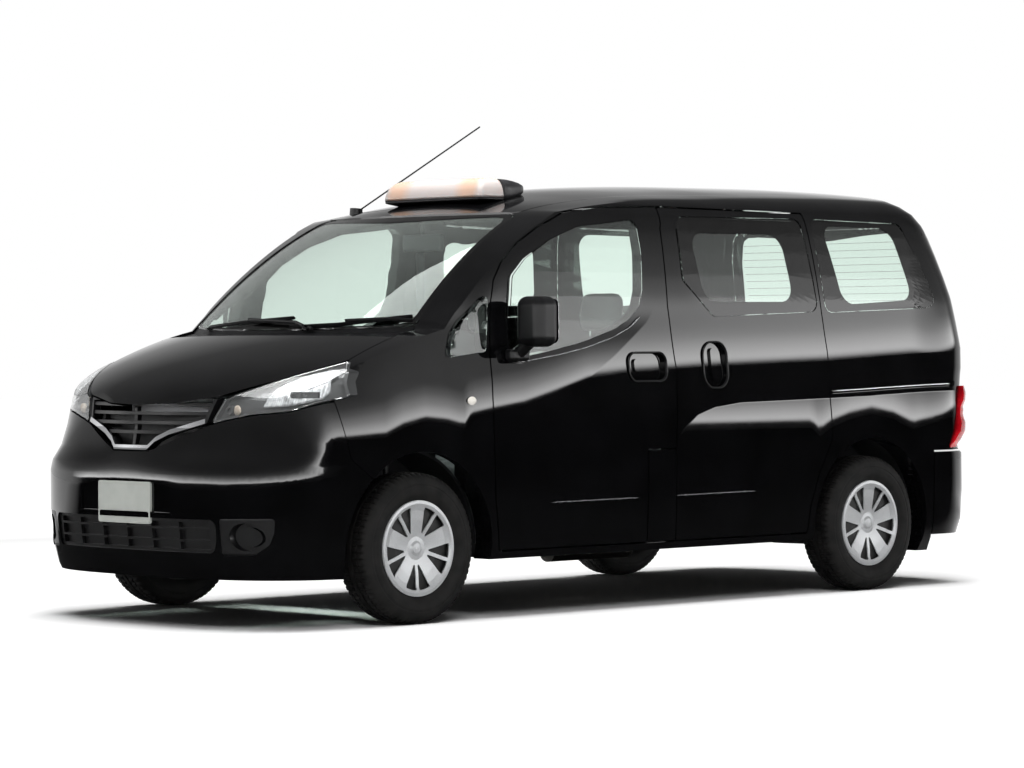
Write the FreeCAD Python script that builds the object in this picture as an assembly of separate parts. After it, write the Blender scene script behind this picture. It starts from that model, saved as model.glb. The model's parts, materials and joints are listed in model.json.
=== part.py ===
import FreeCAD
import Part
import math
import os

V = FreeCAD.Vector

# Main sizes, all in millimetres. The front of the cab points to -Y, its left side to +X.
OVERALL_LENGTH = 4400.0
OVERALL_WIDTH = 1694.0
WHEELBASE = 2725.0
FRONT_AXLE_Y = -1370.0
REAR_AXLE_Y = FRONT_AXLE_Y + WHEELBASE
FRONT_TRACK = 1490.0
REAR_TRACK = 1510.0
TYRE_RADIUS = 300.0
TYRE_WIDTH = 176.0
RIM_RADIUS = 178.0
AXLE_Z = TYRE_RADIUS
ARCH_RADIUS = 385.0
ARCH_CENTRE_Z = 296.0

# Heights of the body
BODY_BOTTOM_Z = 185.0
SILL_Z = 272.0
FLOOR_Z = 300.0
FLOOR_THICK = 30.0
BELT_Z = 1040.0

# Clearances and walls
SHUT_GAP = 7.0
WALL_LOW = 96.0
WALL_HIGH = 58.0
ROOF_THICK = 42.0
HOOD_THICK = 34.0
SKIN_THICK = 34.0
GLASS_THICK = 5.0
GLASS_SINK = 5.0
FIREWALL_Y = -1110.0
SEAT_GAP = 0.3
ROCKER_Z = 240.0
FRONT_BUMPER_Z = 195.0
REAR_BUMPER_Z = 232.0
FLANGE_THICK = 26.0
FLANGE_WIDE = 14.0

HALF_WIDTH = OVERALL_WIDTH / 2
REAR_Y = OVERALL_LENGTH / 2
NOSE_Y = -OVERALL_LENGTH / 2 + 3.0

# Side section: how far the side stands in from the widest point, by height
SIDE_INSET = [(160, 46), (230, 20), (300, 9), (450, 3), (700, 0), (850, 1), (950, 4), (1040, 12), (1150, 20),
              (1250, 27), (1400, 43), (1550, 67), (1640, 89), (1700, 121), (1735, 170), (1765, 240), (1830, 440)]
# Front profile on the centre line, by height: how far it stands behind the nose
NOSE_BACK = [(160, 68), (250, 30), (350, 10), (500, 0), (600, 6), (655, 28), (720, 92), (800, 118),
             (900, 150), (1000, 190), (1150, 300), (1300, 700), (1500, 950), (1840, 1300)]
# Central bulge of the nose above the bumper, by height
NOSE_BULGE = [(600, 0), (660, 10), (720, 48), (800, 62), (900, 96), (1000, 110)]
# Where the front rounding begins, by height
FRONT_ROUND_Y = [(160, -1500), (900, -1480), (1150, -1180), (1400, -760), (1640, -420), (1840, -200)]
# Rear profile on the centre line, by height: how far it stands ahead of the rear bumper
REAR_AHEAD = [(160, 50), (340, 0), (590, 2), (650, 66), (1071, 98), (1347, 145), (1625, 207), (1695, 240), (1745, 300), (1775, 360), (1830, 500)]
REAR_ROUND = 330.0

# Top profile on the centre line
HOOD_LINE = [(-2240, 720), (-2140, 862), (-2080, 925), (-1950, 1005), (-1750, 1085), (-1550, 1145), (-1466, 1164)]
SCREEN_BOTTOM = (-1466.0, 1164.0)
SCREEN_TOP = (-715.0, 1645.0)
SCREEN_BOW = 46.0
ROOF_LINE = [(-715, 1645), (-560, 1692), (-361, 1729), (-123, 1765), (109, 1787), (484, 1804), (900, 1811),
             (1250, 1814), (1600, 1811), (1900, 1800), (2300, 1778)]
PLAN_BOW = 0.00038
ROOF_BOW = 0.00030
ROOF_CROWN_FRONT = 10.0
ROOF_CROWN_REAR = 56.0
ROOF_CROWN_AT = 600.0

SIDE_RINGS = [160, 220, 300, 430, 600, 640, 700, 780, 870, 960, 1040, 1120, 1200, 1300, 1400, 1500, 1580,
              1640, 1690, 1725, 1750, 1775, 1830]


def curve_value(table, at):
    """Monotone cubic through the table's points."""
    if at <= table[0][0]:
        return table[0][1]
    if at >= table[-1][0]:
        return table[-1][1]
    rises = []
    for (x0, y0), (x1, y1) in zip(table, table[1:]):
        rises.append((y1 - y0) / (x1 - x0))
    i = 0
    while table[i + 1][0] < at:
        i += 1

    def slope(k):
        if k == 0:
            return rises[0]
        if k == len(rises):
            return rises[-1]
        if rises[k - 1] * rises[k] <= 0:
            return 0.0
        return 2 / (1 / rises[k - 1] + 1 / rises[k])

    x0, y0 = table[i]
    x1, y1 = table[i + 1]
    h = x1 - x0
    t = (at - x0) / h
    m0 = slope(i) * h
    m1 = slope(i + 1) * h
    return ((2 * t**3 - 3 * t**2 + 1) * y0 + (t**3 - 2 * t**2 + t) * m0
            + (3 * t**2 - 2 * t**3) * y1 + (t**3 - t**2) * m1)


def smooth(low, high, at):
    t = min(1.0, max(0.0, (at - low) / (high - low)))
    return t * t * (3 - 2 * t)


def screen_height(x, y):
    low = SCREEN_BOTTOM[0] + PLAN_BOW * x * x
    high = SCREEN_TOP[0] + ROOF_BOW * x * x
    t = (y - low) / (high - low)
    return SCREEN_BOTTOM[1] + (SCREEN_TOP[1] - SCREEN_BOTTOM[1]) * t + SCREEN_BOW * 4 * t * (1 - t)


def roof_height(x, y):
    crown = ROOF_CROWN_FRONT + (ROOF_CROWN_REAR - ROOF_CROWN_FRONT) * smooth(-650, 500, y)
    line = curve_value(ROOF_LINE, y - ROOF_BOW * x * x)
    return line - crown * (x / ROOF_CROWN_AT) ** 2


def hood_height(x, y):
    return curve_value(HOOD_LINE, y - PLAN_BOW * x * x)


def top_height(x, y):
    if y < SCREEN_BOTTOM[0] + PLAN_BOW * x * x:
        return hood_height(x, y)
    if y < SCREEN_TOP[0] + ROOF_BOW * x * x:
        return screen_height(x, y)
    return roof_height(x, y)


def quarter_plan(half_width, length, power, count, bulge):
    """Even steps along a quarter of a superellipse, from the centre line to the side."""
    fine = []
    steps = 160
    for k in range(steps + 1):
        t = k / steps * math.pi / 2
        x = half_width * math.sin(t) ** (2 / power)
        fine.append((x, length * math.cos(t) ** (2 / power) + bulge * math.exp(-(x / 265.0) ** 2)))
    run = [0.0]
    for a, b in zip(fine, fine[1:]):
        run.append(run[-1] + math.dist(a, b))
    points = []
    k = 0
    for i in range(count + 1):
        want = run[-1] * i / count
        while k < len(run) - 2 and run[k + 1] < want:
            k += 1
        t = (want - run[k]) / (run[k + 1] - run[k])
        points.append((fine[k][0] + t * (fine[k + 1][0] - fine[k][0]),
                       fine[k][1] + t * (fine[k + 1][1] - fine[k][1])))
    return points


FRONT_STEPS = 16
MIDDLE_STEPS = 12
REAR_STEPS = 12


def half_ring(z, inset):
    """Half outline of the body in plan at one height, from the front centre to the rear centre."""
    if inset is None:
        inset = curve_value(WALL, z)
    width = HALF_WIDTH - curve_value(SIDE_INSET, z) - inset
    front_start = curve_value(FRONT_ROUND_Y, z)
    front_y = NOSE_Y + curve_value(NOSE_BACK, z) + inset
    bulge = curve_value(NOSE_BULGE, z)
    rear_y = REAR_Y - curve_value(REAR_AHEAD, z) - inset
    rear_start = rear_y - REAR_ROUND
    front = quarter_plan(width, front_start - front_y, 3.05, FRONT_STEPS, bulge)
    rear = quarter_plan(width, rear_y - rear_start, 3.0, REAR_STEPS, 0.0)
    points = [(x, front_start - y) for x, y in front]
    for i in range(1, MIDDLE_STEPS):
        points.append((width, front_start + (rear_start - front_start) * i / MIDDLE_STEPS))
    points += [(x, rear_start + y) for x, y in reversed(rear)]
    return points


ring_store = {}


def half_ring_cached(z, inset):
    key = (z, inset)
    if key not in ring_store:
        ring_store[key] = half_ring(z, inset)
    return ring_store[key]


def mirrored(point):
    return V(-point.x, point.y, point.z)


def front_and_rear(row):
    """The full ring as a front part and a rear part that meet in the middle of each side."""
    left = [V(x, y, z) for x, y, z in row]
    middle = FRONT_STEPS + MIDDLE_STEPS // 2
    front = [mirrored(p) for p in reversed(left[1:middle + 1])] + left[:middle + 1]
    rear = left[middle:] + [mirrored(p) for p in reversed(left[middle:-1])]
    return front, rear


def even_parameters(points):
    run = [0.0]
    for a, b in zip(points, points[1:]):
        run.append(run[-1] + (b - a).Length)
    return [value / run[-1] for value in run]


def ring_wire(row):
    pattern = front_and_rear([(x, y, 0.0) for x, y in half_ring_cached(600, 0.0)])
    edges = []
    for points, guide in zip(front_and_rear(row), pattern):
        curve = Part.BSplineCurve()
        curve.interpolate(Points=points, Parameters=even_parameters(guide))
        edges.append(curve.toShape())
    return Part.Wire(edges)


def side_solid(inset):
    """Everything inside the body's side skin."""
    wires = []
    for z in SIDE_RINGS:
        wires.append(ring_wire([(x, y, z) for x, y in half_ring_cached(z, inset)]))
    return Part.makeLoft(wires, True, True, False)


def spline_edge(points):
    curve = Part.BSplineCurve()
    curve.interpolate(Points=points)
    return curve.toShape()


def top_solid(drop, back=0.0):
    """Everything under the hood, screen and roof surfaces."""
    wires = []
    for step in range(-9, 10):
        x = step * 100.0
        low = SCREEN_BOTTOM[0] + PLAN_BOW * x * x
        high = SCREEN_TOP[0] + ROOF_BOW * x * x
        hood = [V(x, y, hood_height(x, y) - drop) for y in
                [HOOD_LINE[0][0] + PLAN_BOW * x * x + (low - HOOD_LINE[0][0] - PLAN_BOW * x * x) * k / 14
                 for k in range(15)]]
        screen = [V(x, y, screen_height(x, y) - drop) for y in [low + (high - low) * k / 8 for k in range(9)]]
        far = 2500.0
        roof = [V(x, y, roof_height(x, y) - drop) for y in [high + (far - high) * k / 18 for k in range(19)]]
        hood[-1] = screen[0]
        roof[0] = screen[-1]
        edges = [spline_edge(hood), spline_edge(screen), spline_edge(roof)]
        deep = 100.0
        corner = [hood[0], V(x, hood[0].y, deep), V(x, far, deep), roof[-1]]
        edges += [Part.makeLine(corner[3], corner[2]), Part.makeLine(corner[2], corner[1]),
                  Part.makeLine(corner[1], corner[0])]
        wires.append(Part.Wire(edges))
    return Part.makeLoft(wires, True, False, False)


# Outlines and prisms

def outline(points, radius=0.0):
    """Closed wire through the points, each corner rounded where there is room."""
    if radius <= 0:
        return Part.makePolygon(points + [points[0]])
    edges = []
    starts = []
    count = len(points)
    corners = []
    for i in range(count):
        before, here, after = points[i - 1], points[i], points[(i + 1) % count]
        a = (before - here).normalize()
        b = (after - here).normalize()
        angle = a.getAngle(b)
        room = 0.45 * min((before - here).Length, (after - here).Length)
        cut = min(radius / math.tan(angle / 2), room) if angle < math.radians(176) else 0.0
        if cut < 0.5:
            corners.append((here, None, here))
            continue
        bisector = (a + b).normalize()
        size = cut * math.tan(angle / 2)
        middle = here + bisector * (size / math.sin(angle / 2) - size)
        corners.append((here + a * cut, middle, here + b * cut))
    for i in range(count):
        start, middle, end = corners[i]
        if middle is not None:
            edges.append(Part.Arc(start, middle, end).toShape())
        following = corners[(i + 1) % count][0]
        if (following - end).Length > 1e-6:
            edges.append(Part.makeLine(end, following))
    return Part.Wire(edges)


def grown(points, distance):
    """The flat outline with every side moved outward by distance."""
    if distance == 0:
        return points
    count = len(points)
    area = 0.0
    for i in range(count):
        area += points[i - 1][0] * points[i][1] - points[i][0] * points[i - 1][1]
    turn = 1.0 if area > 0 else -1.0
    moved = []
    for i in range(count):
        (ax, ay), (bx, by), (cx, cy) = points[i - 1], points[i], points[(i + 1) % count]
        first, second = math.hypot(bx - ax, by - ay), math.hypot(cx - bx, cy - by)
        n1 = ((by - ay) / first * turn, -(bx - ax) / first * turn)
        n2 = ((cy - by) / second * turn, -(cx - bx) / second * turn)
        share = distance / max(0.3, 1 + n1[0] * n2[0] + n1[1] * n2[1])
        moved.append((bx + (n1[0] + n2[0]) * share, by + (n1[1] + n2[1]) * share))
    return moved


def prism_x(points, x0, x1, radius=0.0, grow=0.0):
    """Prism along X from an outline of (y, z) points."""
    wire = outline([V(x0, y, z) for y, z in grown(points, grow)], radius)
    return Part.Face(wire).extrude(V(x1 - x0, 0, 0))


def prism_y(points, y0, y1, radius=0.0, grow=0.0):
    """Prism along Y from an outline of (x, z) points."""
    wire = outline([V(x, y0, z) for x, z in grown(points, grow)], radius)
    return Part.Face(wire).extrude(V(0, y1 - y0, 0))


def prism_z(points, z0, z1, radius=0.0, grow=0.0):
    """Prism along Z from an outline of (x, y) points."""
    wire = outline([V(x, y, z0) for x, y in grown(points, grow)], radius)
    return Part.Face(wire).extrude(V(0, 0, z1 - z0))


def block(x0, x1, y0, y1, z0, z1):
    return Part.makeBox(x1 - x0, y1 - y0, z1 - z0, V(x0, y0, z0))


def bow(half, side_y, centre_y, count=9):
    """Points across the car along a line that bows forward in plan, from right to left."""
    points = []
    for k in range(count):
        x = half * (2 * k / (count - 1) - 1)
        points.append((x, centre_y + (side_y - centre_y) * (x / half) ** 2))
    return points


def rod(start, end, radius):
    direction = end - start
    return Part.makeCylinder(radius, direction.Length, start, direction)


def turned(profile, axis_x, centre):
    """Solid of revolution about an axis along X, from (offset along X, radius) points."""
    points = [V(axis_x * a, 0, r) for a, r in profile]
    face = Part.Face(Part.makePolygon(points + [points[0]]))
    solid = face.revolve(V(0, 0, 0), V(1, 0, 0), 360)
    solid.translate(centre)
    return solid


def flip(shape):
    return shape.mirror(V(0, 0, 0), V(1, 0, 0))


def soft_box(x0, x1, y0, y1, z0, z1, radius):
    solid = block(x0, x1, y0, y1, z0, z1)
    return solid.makeFillet(radius, solid.Edges)


def biggest(shape):
    return max(shape.Solids, key=lambda s: s.Volume)


def clean(shape, least=2000.0):
    solids = [s for s in shape.Solids if s.Volume > least]
    return solids[0] if len(solids) == 1 else Part.makeCompound(solids)


def fused(shapes):
    return shapes[0].multiFuse(shapes[1:]) if len(shapes) > 1 else shapes[0]


# Outlines in side view, as (y, z)

FLAP_Y = (-88.0, 85.0)
FLAP_TOP = 661.0
FLAP_X = 800.0
FRONT_DOOR_REAR = [(73, 1683), (68, 1263), (97, 1001), (82, FLAP_TOP)]
FRONT_DOOR_FRONT = [(-943, SILL_Z), (-970, 479), (-985, 880), (-979, 1065), (-950, 1275), (-925, 1362),
                    (-870, 1436), (-775, 1512), (-640, 1588), (-500, 1646), (-300, 1672)]
FRONT_DOOR_LEFT = FRONT_DOOR_FRONT + FRONT_DOOR_REAR + [(FLAP_Y[0], FLAP_TOP), (FLAP_Y[0], SILL_Z)]
FRONT_DOOR_RIGHT = FRONT_DOOR_FRONT + FRONT_DOOR_REAR + [(85, SILL_Z)]
FLAP = [(FLAP_Y[0], SILL_Z), (FLAP_Y[0], FLAP_TOP), (FLAP_Y[1], FLAP_TOP), (FLAP_Y[1], SILL_Z)]
SLIDING_DOOR = [(85, SILL_Z), (82, FLAP_TOP), (97, 1001), (68, 1263), (73, 1683), (996, 1676), (1045, 1233), (1067, 1076),
                (1080, 765), (1084, 682), (1000, 538), (943, 395), (925, SILL_Z)]
FRONT_DOOR_GLASS = [(-875, 1040), (-858, 1240), (-832, 1380), (-752, 1450), (-600, 1530), (-420, 1590), (-75, 1628),
                    (-68, 1480), (-84, 1325), (-110, 1258), (-170, 1208), (-262, 1165), (-452, 1112), (-657, 1073)]
QUARTER_GLASS = [(-1216, 1050), (-1168, 1152), (-1112, 1208), (-992, 1300), (-980, 1285), (-1006, 1074)]
SLIDING_GLASS = [(170, 1645), (966, 1652), (1024, 1242), (343, 1217), (170, 1374)]
REAR_SIDE_GLASS = [(1030, 1652), (1645, 1644), (1738, 1482), (1809, 1263), (1075, 1237)]
GLASS_CORNER = 45.0

# Hinge axes
DOOR_AXIS = (827.0, -930.0)
HOOD_AXIS = (-1380.0, 1117.0)
GATE_AXIS_Z = 1731.0
GATE_AXIS_Y = REAR_Y - curve_value(REAR_AHEAD, GATE_AXIS_Z) + 3.0
PIN_RADIUS = 5.0
RUN_GAP = 0.05


def door_pin(radius, top):
    return Part.makeCylinder(radius, top - ROCKER_Z - 5, V(DOOR_AXIS[0], DOOR_AXIS[1], ROCKER_Z + 5))


def hood_pin(radius):
    return Part.makeCylinder(radius, 38, V(694, HOOD_AXIS[0], HOOD_AXIS[1]), V(1, 0, 0))


def hood_leaf():
    y, z = HOOD_AXIS
    return block(697, 707, y - 60, y + 8, z - 9, z + 7).cut(hood_pin(PIN_RADIUS + RUN_GAP))


def gate_pin(radius, x0, x1):
    return Part.makeCylinder(radius, x1 - x0, V(x0, GATE_AXIS_Y, GATE_AXIS_Z), V(1, 0, 0))


def gate_arm():
    arm = block(302, 316, GATE_AXIS_Y - 13, GATE_AXIS_Y + 8, 1700, GATE_AXIS_Z + 8)
    return arm.cut(gate_pin(PIN_RADIUS + RUN_GAP, 298, 320))


def gate_lug():
    lug = block(317, 331, GATE_AXIS_Y - 20, GATE_AXIS_Y + 8, GATE_AXIS_Z - 2, GATE_AXIS_Z + 8)
    return lug.fuse(gate_pin(PIN_RADIUS, 300, 330))


# The body as one shell, before it is split

WALL = [(160, WALL_LOW), (BELT_Z - 60, WALL_LOW), (BELT_Z + 30, WALL_HIGH), (1830, WALL_HIGH)]


def build_body():
    outer = side_solid(0.0).common(top_solid(0.0))
    cabin_side = side_solid(None)
    cabin = cabin_side.common(top_solid(ROOF_THICK)).common(block(-900, 900, FIREWALL_Y, 2400, 100, 2000))
    bay = side_solid(SKIN_THICK).common(top_solid(HOOD_THICK))
    bay = bay.common(block(-900, 900, -2400, FIREWALL_Y, 100, 1400))
    return outer, cabin, bay

# Front of the body, as outlines seen from the front (x, z)

LAMP = [(384, 792), (430, 893), (590, 966), (745, 1042), (800, 1000), (822, 900), (700, 845), (560, 830), (430, 805)]
LAMP_RIM = 6.0
LAMP_TUBES = ((640, 932, 38), (700, 985, 24), (450, 848, 17))
GRILLE_LOW = [(104, 690), (140, 722), (205, 751), (290, 774), (372, 796)]
GRILLE = [(-x, z) for x, z in reversed(GRILLE_LOW)] + GRILLE_LOW + [(405, 905), (-405, 905)]
TRIM_WIDE = 25.0
TRIM_PROUD = 6.0
GRILLE_SLATS = (756, 793, 830, 864)
SLAT_TALL = 13.0
INTAKE = [(-488, 300), (488, 300), (502, 345), (505, 430), (-505, 430), (-502, 345)]
INTAKE_BARS = (341.0, 388.0)
BAR_TALL = 9.0
INTAKE_POSTS = 6
FOG_PANEL = [(517, 434), (712, 436), (706, 380), (690, 334), (637, 290), (517, 292)]
FOG = (611.0, 364.0)
FOG_RADIUS = 54.0
HOOD_SIDE = [(760, -2300), (748, -1668)]
HOOD_EDGE = [(0, 866), (200, 872), (405, 900), (590, 966), (745, 1042), (800, 1075)]
HOOD_REAR_SIDE = (712.0, -1395.0)
HOOD_REAR_CENTRE = -1560.0
BUMPER_TOP = [(0, 690), (110, 690), (372, 790), (430, 805), (560, 830), (700, 845), (860, 905)]
BUMPER_SEAM = [(-1800, 1000), (-1780, 880), (-1730, 660), (-1600, 560)]
BUMPER_BOTTOM = 200.0
TAIL_LAMP = [(1893, 626), (2300, 626), (2300, 907), (1935, 907)]
TAIL_LAMP_X = 690.0
REAR_BUMPER_TOP = 612.0
REAR_BUMPER_FRONT = 1790.0
TAILGATE = [(-672, 622), (672, 622), (676, 907), (668, 1100), (640, 1500), (600, 1725), (-600, 1725), (-640, 1500),
            (-668, 1100), (-676, 907)]
TAILGATE_GLASS = [(-590, 1130), (590, 1130), (566, 1500), (530, 1640), (-530, 1640), (-566, 1500)]
ROOF_SIDE_X = 596.0
ROOF_REAR_Y = 2050.0
SCREEN_SIDE = [(-1262, 690), (-604, 606)]


def hood_plan():
    right = [(-x, y) for x, y in reversed(HOOD_SIDE)]
    rear = bow(HOOD_REAR_SIDE[0], HOOD_REAR_SIDE[1], HOOD_REAR_CENTRE)
    return right + HOOD_SIDE + list(reversed(rear))


def hood_prism(grow):
    """Space that the hood fills: inside its plan and above its front edge."""
    edge = [(-x, z) for x, z in reversed(HOOD_EDGE[1:])] + HOOD_EDGE
    above = [(x, z - grow) for x, z in edge] + [(800, 1400), (-800, 1400)]
    return prism_z(hood_plan(), 700, 1350, 0, grow).common(prism_y(above, -2400, -1300))


SCREEN_BOTTOM_SIDE = (-1262.0, 690.0)


def screen_plan():
    low = bow(SCREEN_BOTTOM_SIDE[1], SCREEN_BOTTOM_SIDE[0], SCREEN_BOTTOM[0] + 8.0)
    high = bow(606.0, -604.0, SCREEN_TOP[0] + 2.0)
    return low + list(reversed(high))


def roof_plan():
    front = bow(ROOF_SIDE_X, -596.0, SCREEN_TOP[0] + 8.0)
    return front + [(ROOF_SIDE_X, ROOF_REAR_Y), (-ROOF_SIDE_X, ROOF_REAR_Y)]


def cowl_plan():
    front = bow(HOOD_REAR_SIDE[0] - 4, HOOD_REAR_SIDE[1], HOOD_REAR_CENTRE)
    rear = bow(690.0, -1246.0, SCREEN_BOTTOM[0] + 24.0)
    return front + list(reversed(rear))


def side_window(outer, points, sink=GLASS_SINK):
    """Pane that follows the body's side, a little below its skin."""
    prism = prism_x(points, 500, 900, GLASS_CORNER, -0.4)
    first = outer.copy()
    first.translate(V(-sink, 0, 0))
    second = prism.common(first)
    inner = second.copy()
    inner.translate(V(-GLASS_THICK, 0, 0))
    return second.cut(inner)


def thin_layer(outer, prism, shift, step):
    """Layer of the body's skin: the skin moved by shift, cut by itself moved on by step."""
    moved = outer.copy()
    moved.translate(shift)
    chunk = prism.common(moved)
    moved.translate(step)
    return chunk.cut(moved)


def arch_cylinder(y, radius, x0, x1):
    return Part.makeCylinder(radius, x1 - x0, V(x0, y, ARCH_CENTRE_Z), V(1, 0, 0))


PLATE_HOLES_APART = 210.0
PLATE_HOLE_RADIUS = 3.5
FRONT_SEAT = {"face": -2182.0, "half": 280.0, "low": 452.0, "high": 577.0, "holes": 545.0}
REAR_SEAT = {"face": 2108.0, "half": 172.0, "low": 674.0, "high": 846.0, "holes": 826.0}


def plate_seat(seat, side):
    """What is cut for a number plate: its flat seat and the two screw holes."""
    y0, y1 = sorted((seat["face"], seat["face"] + side * 120))
    tools = [block(-seat["half"], seat["half"], y0, y1, seat["low"], seat["high"])]
    for x in (-PLATE_HOLES_APART / 2, PLATE_HOLES_APART / 2):
        start = V(x, seat["face"] + side * 20, seat["holes"])
        tools.append(Part.makeCylinder(PLATE_HOLE_RADIUS, 160, start, V(0, -side, 0)))
    return fused(tools)


HANDLE = [(-190, 950), (30, 950), (30, 1064), (-190, 1064)]
HANDLE_PAD = [(-150, 985), (-25, 985), (-25, 1040), (-150, 1040)]
SLIDER_HANDLE = [(264, 918), (408, 918), (408, 1108), (264, 1108)]
SLIDER_PAD = [(318, 942), (354, 942), (354, 1084), (318, 1084)]
RAIL = [(1089, 880), (1895, 908), (1895, 930), (1089, 902)]
HANDLE_DEEP = 15.0
PAD_DEEP = 5.0


def handle(outer, panel, recess, pad, radius):
    """The panel with a rounded recess and a grip that stands in it."""
    inner = outer.copy()
    inner.translate(V(-HANDLE_DEEP, 0, 0))
    top = outer.copy()
    top.translate(V(-PAD_DEEP, 0, 0))
    hole = prism_x(recess, 780, 900, radius).cut(inner)
    grip = prism_x(pad, 800, 900, radius * 0.45).common(top)
    return panel.cut(hole).fuse(grip)


def moved_skin(outer, x, y, z):
    skin = outer.copy()
    skin.translate(V(x, y, z))
    return skin


def build_headlamp(outer, lamp):
    """Left lamp: a thin lens, and its housing with the reflector tubes."""
    lens = biggest(lamp.cut(moved_skin(outer, -3, 4, -2)))
    behind = moved_skin(outer, -3.3, 4.4, -2.3)
    floor = moved_skin(outer, -11, 22, -11)
    pocket = prism_y(LAMP, -2300, -1500, 10, -SHUT_GAP / 2 - LAMP_RIM).cut(floor)
    housing = lamp.common(behind).cut(pocket)
    front = moved_skin(outer, -7, 11, -7)
    for x, z, radius in LAMP_TUBES:
        tube = Part.makeCylinder(radius, 700, V(x, -2250, z), V(0, 1, 0))
        tube = tube.cut(Part.makeCylinder(radius - 5, 700, V(x, -2250, z), V(0, 1, 0)))
        housing = housing.fuse(tube.common(lamp).common(front))
    return lens, biggest(housing)


def build_grille(nose, hood_space, outer):
    """Dark slats in their frame, and the bright trim along the lower edge."""
    half = SHUT_GAP / 2
    frame = nose.common(prism_y(GRILLE, -2300, -1900, 6, -half)).cut(hood_space)
    low = [(-x, z) for x, z in reversed(GRILLE_LOW)] + GRILLE_LOW
    inner = [(x * 0.985, z + TRIM_WIDE) for x, z in reversed(low)]
    band = prism_y(low + inner, -2300, -1900, 0, -half)
    proud = moved_skin(outer, 0, -TRIM_PROUD, 0)
    trim = band.common(proud).cut(moved_skin(outer, 0, 12, 0)).cut(hood_space)
    ring = frame.cut(prism_y(GRILLE, -2300, -1900, 4, -half - 16))
    slats = [frame.common(block(-420, 420, -2300, -1900, z, z + SLAT_TALL)).common(moved_skin(outer, 0, 5, 0))
             for z in GRILLE_SLATS]
    post = frame.common(block(-9, 9, -2300, -1900, 700, 880)).common(moved_skin(outer, 0, 14, 0))
    grille = fused([biggest(ring), post] + [s for slat in slats for s in slat.Solids])
    seat = prism_y(low + inner, -2300, -1900, 0, -half + SEAT_GAP).cut(moved_skin(outer, 0, 12 + SEAT_GAP, 0))
    return clean(grille.cut(seat)), biggest(trim)


def build_lower_grille(outer):
    """Dark insert of the lower intake: two long bars over shallow pockets."""
    plug = prism_y(INTAKE, -2300, -1950, 30, -SEAT_GAP).common(moved_skin(outer, 0, 10, 0))
    plug = plug.cut(moved_skin(outer, 0, 31, 0))
    floor = moved_skin(outer, 0, 26, 0)
    low = INTAKE[0][1] + 12
    rows = [low] + [z + BAR_TALL for z in INTAKE_BARS]
    tops = list(INTAKE_BARS) + [INTAKE[3][1] - 12]
    pitch = 2 * 470.0 / INTAKE_POSTS
    pockets = []
    for z0, z1 in zip(rows, tops):
        for i in range(INTAKE_POSTS):
            x = -470 + i * pitch
            pockets.append(block(x + 3, x + pitch - 3, -2300, -1950, z0, z1))
    cut = Part.makeCompound(pockets).cut(floor)
    return biggest(plug.cut(cut))


def build_fog_lamp(outer):
    """Left fog lamp in its panel."""
    panel = prism_y(FOG_PANEL, -2300, -1850, 12, -SEAT_GAP)
    panel = panel.common(moved_skin(outer, 0, 5, 0)).cut(moved_skin(outer, -4, 34, 0))
    axis = V(0.18, 1, 0)
    cup = Part.makeCylinder(FOG_RADIUS, 400, V(FOG[0] - 54, -2400, FOG[1]), axis)
    cup = cup.cut(moved_skin(outer, -4, 27, 0))
    lamp = Part.makeCylinder(FOG_RADIUS - 16, 400, V(FOG[0] - 54, -2400, FOG[1]), axis)
    lamp = lamp.common(moved_skin(outer, -2, 16, 0)).cut(moved_skin(outer, -4, 28, 0))
    return biggest(panel.cut(cup).fuse(lamp))


BLADES = ((-560.0, 10.0, -40.0), (90.0, 620.0, 560.0))
BLADE_LIFT = 52.0


def screen_edge(x):
    """Where the windscreen's lower edge lies, ahead of x."""
    return SCREEN_BOTTOM[0] + 8.0 + (SCREEN_BOTTOM_SIDE[0] - SCREEN_BOTTOM[0] - 8.0) * (x / SCREEN_BOTTOM_SIDE[1]) ** 2


def build_wipers(outer):
    """Two blades along the lower edge of the screen, each with its arm and pivot."""
    glass = moved_skin(outer, 0, 2.5, -4 + SEAT_GAP)
    top = moved_skin(outer, 0, 0, 9)
    arm_low = moved_skin(outer, 0, 0, 7)
    arm_top = moved_skin(outer, 0, 0, 16)
    cowl = moved_skin(outer, 0, 0, -12 + SEAT_GAP)
    wipers = []
    for x0, x1, pivot in BLADES:
        steps = [x0 + (x1 - x0) * i / 6 for i in range(7)]
        low = [(x, screen_edge(x) + BLADE_LIFT) for x in steps]
        high = [(x, y + 9) for x, y in reversed(low)]
        blade = prism_z(low + high, 1100, 1500).common(top).cut(glass)
        mid = (x0 + x1) / 2
        base_y = screen_edge(pivot) - 26
        plan = [(pivot - 9, base_y), (pivot + 9, base_y), (mid + 6, screen_edge(mid) + BLADE_LIFT + 8),
                (mid - 6, screen_edge(mid) + BLADE_LIFT + 2)]
        arm = prism_z(plan, 1100, 1500).common(arm_top).cut(arm_low)
        hub = Part.makeCylinder(13, 400, V(pivot, base_y, 1000)).common(arm_top).cut(cowl)
        wipers.append(fused([biggest(blade), biggest(arm), biggest(hub)]))
    return Part.makeCompound(wipers)


def build_gate_wiper(outer):
    glass = moved_skin(outer, 0, -GLASS_SINK + SEAT_GAP, 0)
    top = moved_skin(outer, 0, 6, 0)
    arm_low = moved_skin(outer, 0, 4, 0)
    arm_top = moved_skin(outer, 0, 12, 0)
    skin = moved_skin(outer, 0, SEAT_GAP, 0)
    blade = prism_y([(-60, 1160), (330, 1176), (330, 1184), (-60, 1168)], 1700, 2400).common(top).cut(glass)
    arm = prism_y([(-132, 1098), (-112, 1092), (150, 1168), (146, 1178)], 1700, 2400).common(arm_top).cut(arm_low)
    hub = Part.makeCylinder(15, 700, V(-120, 1700, 1098), V(0, 1, 0)).common(arm_top).cut(skin)
    return fused([biggest(blade), biggest(arm), biggest(hub)])


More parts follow.
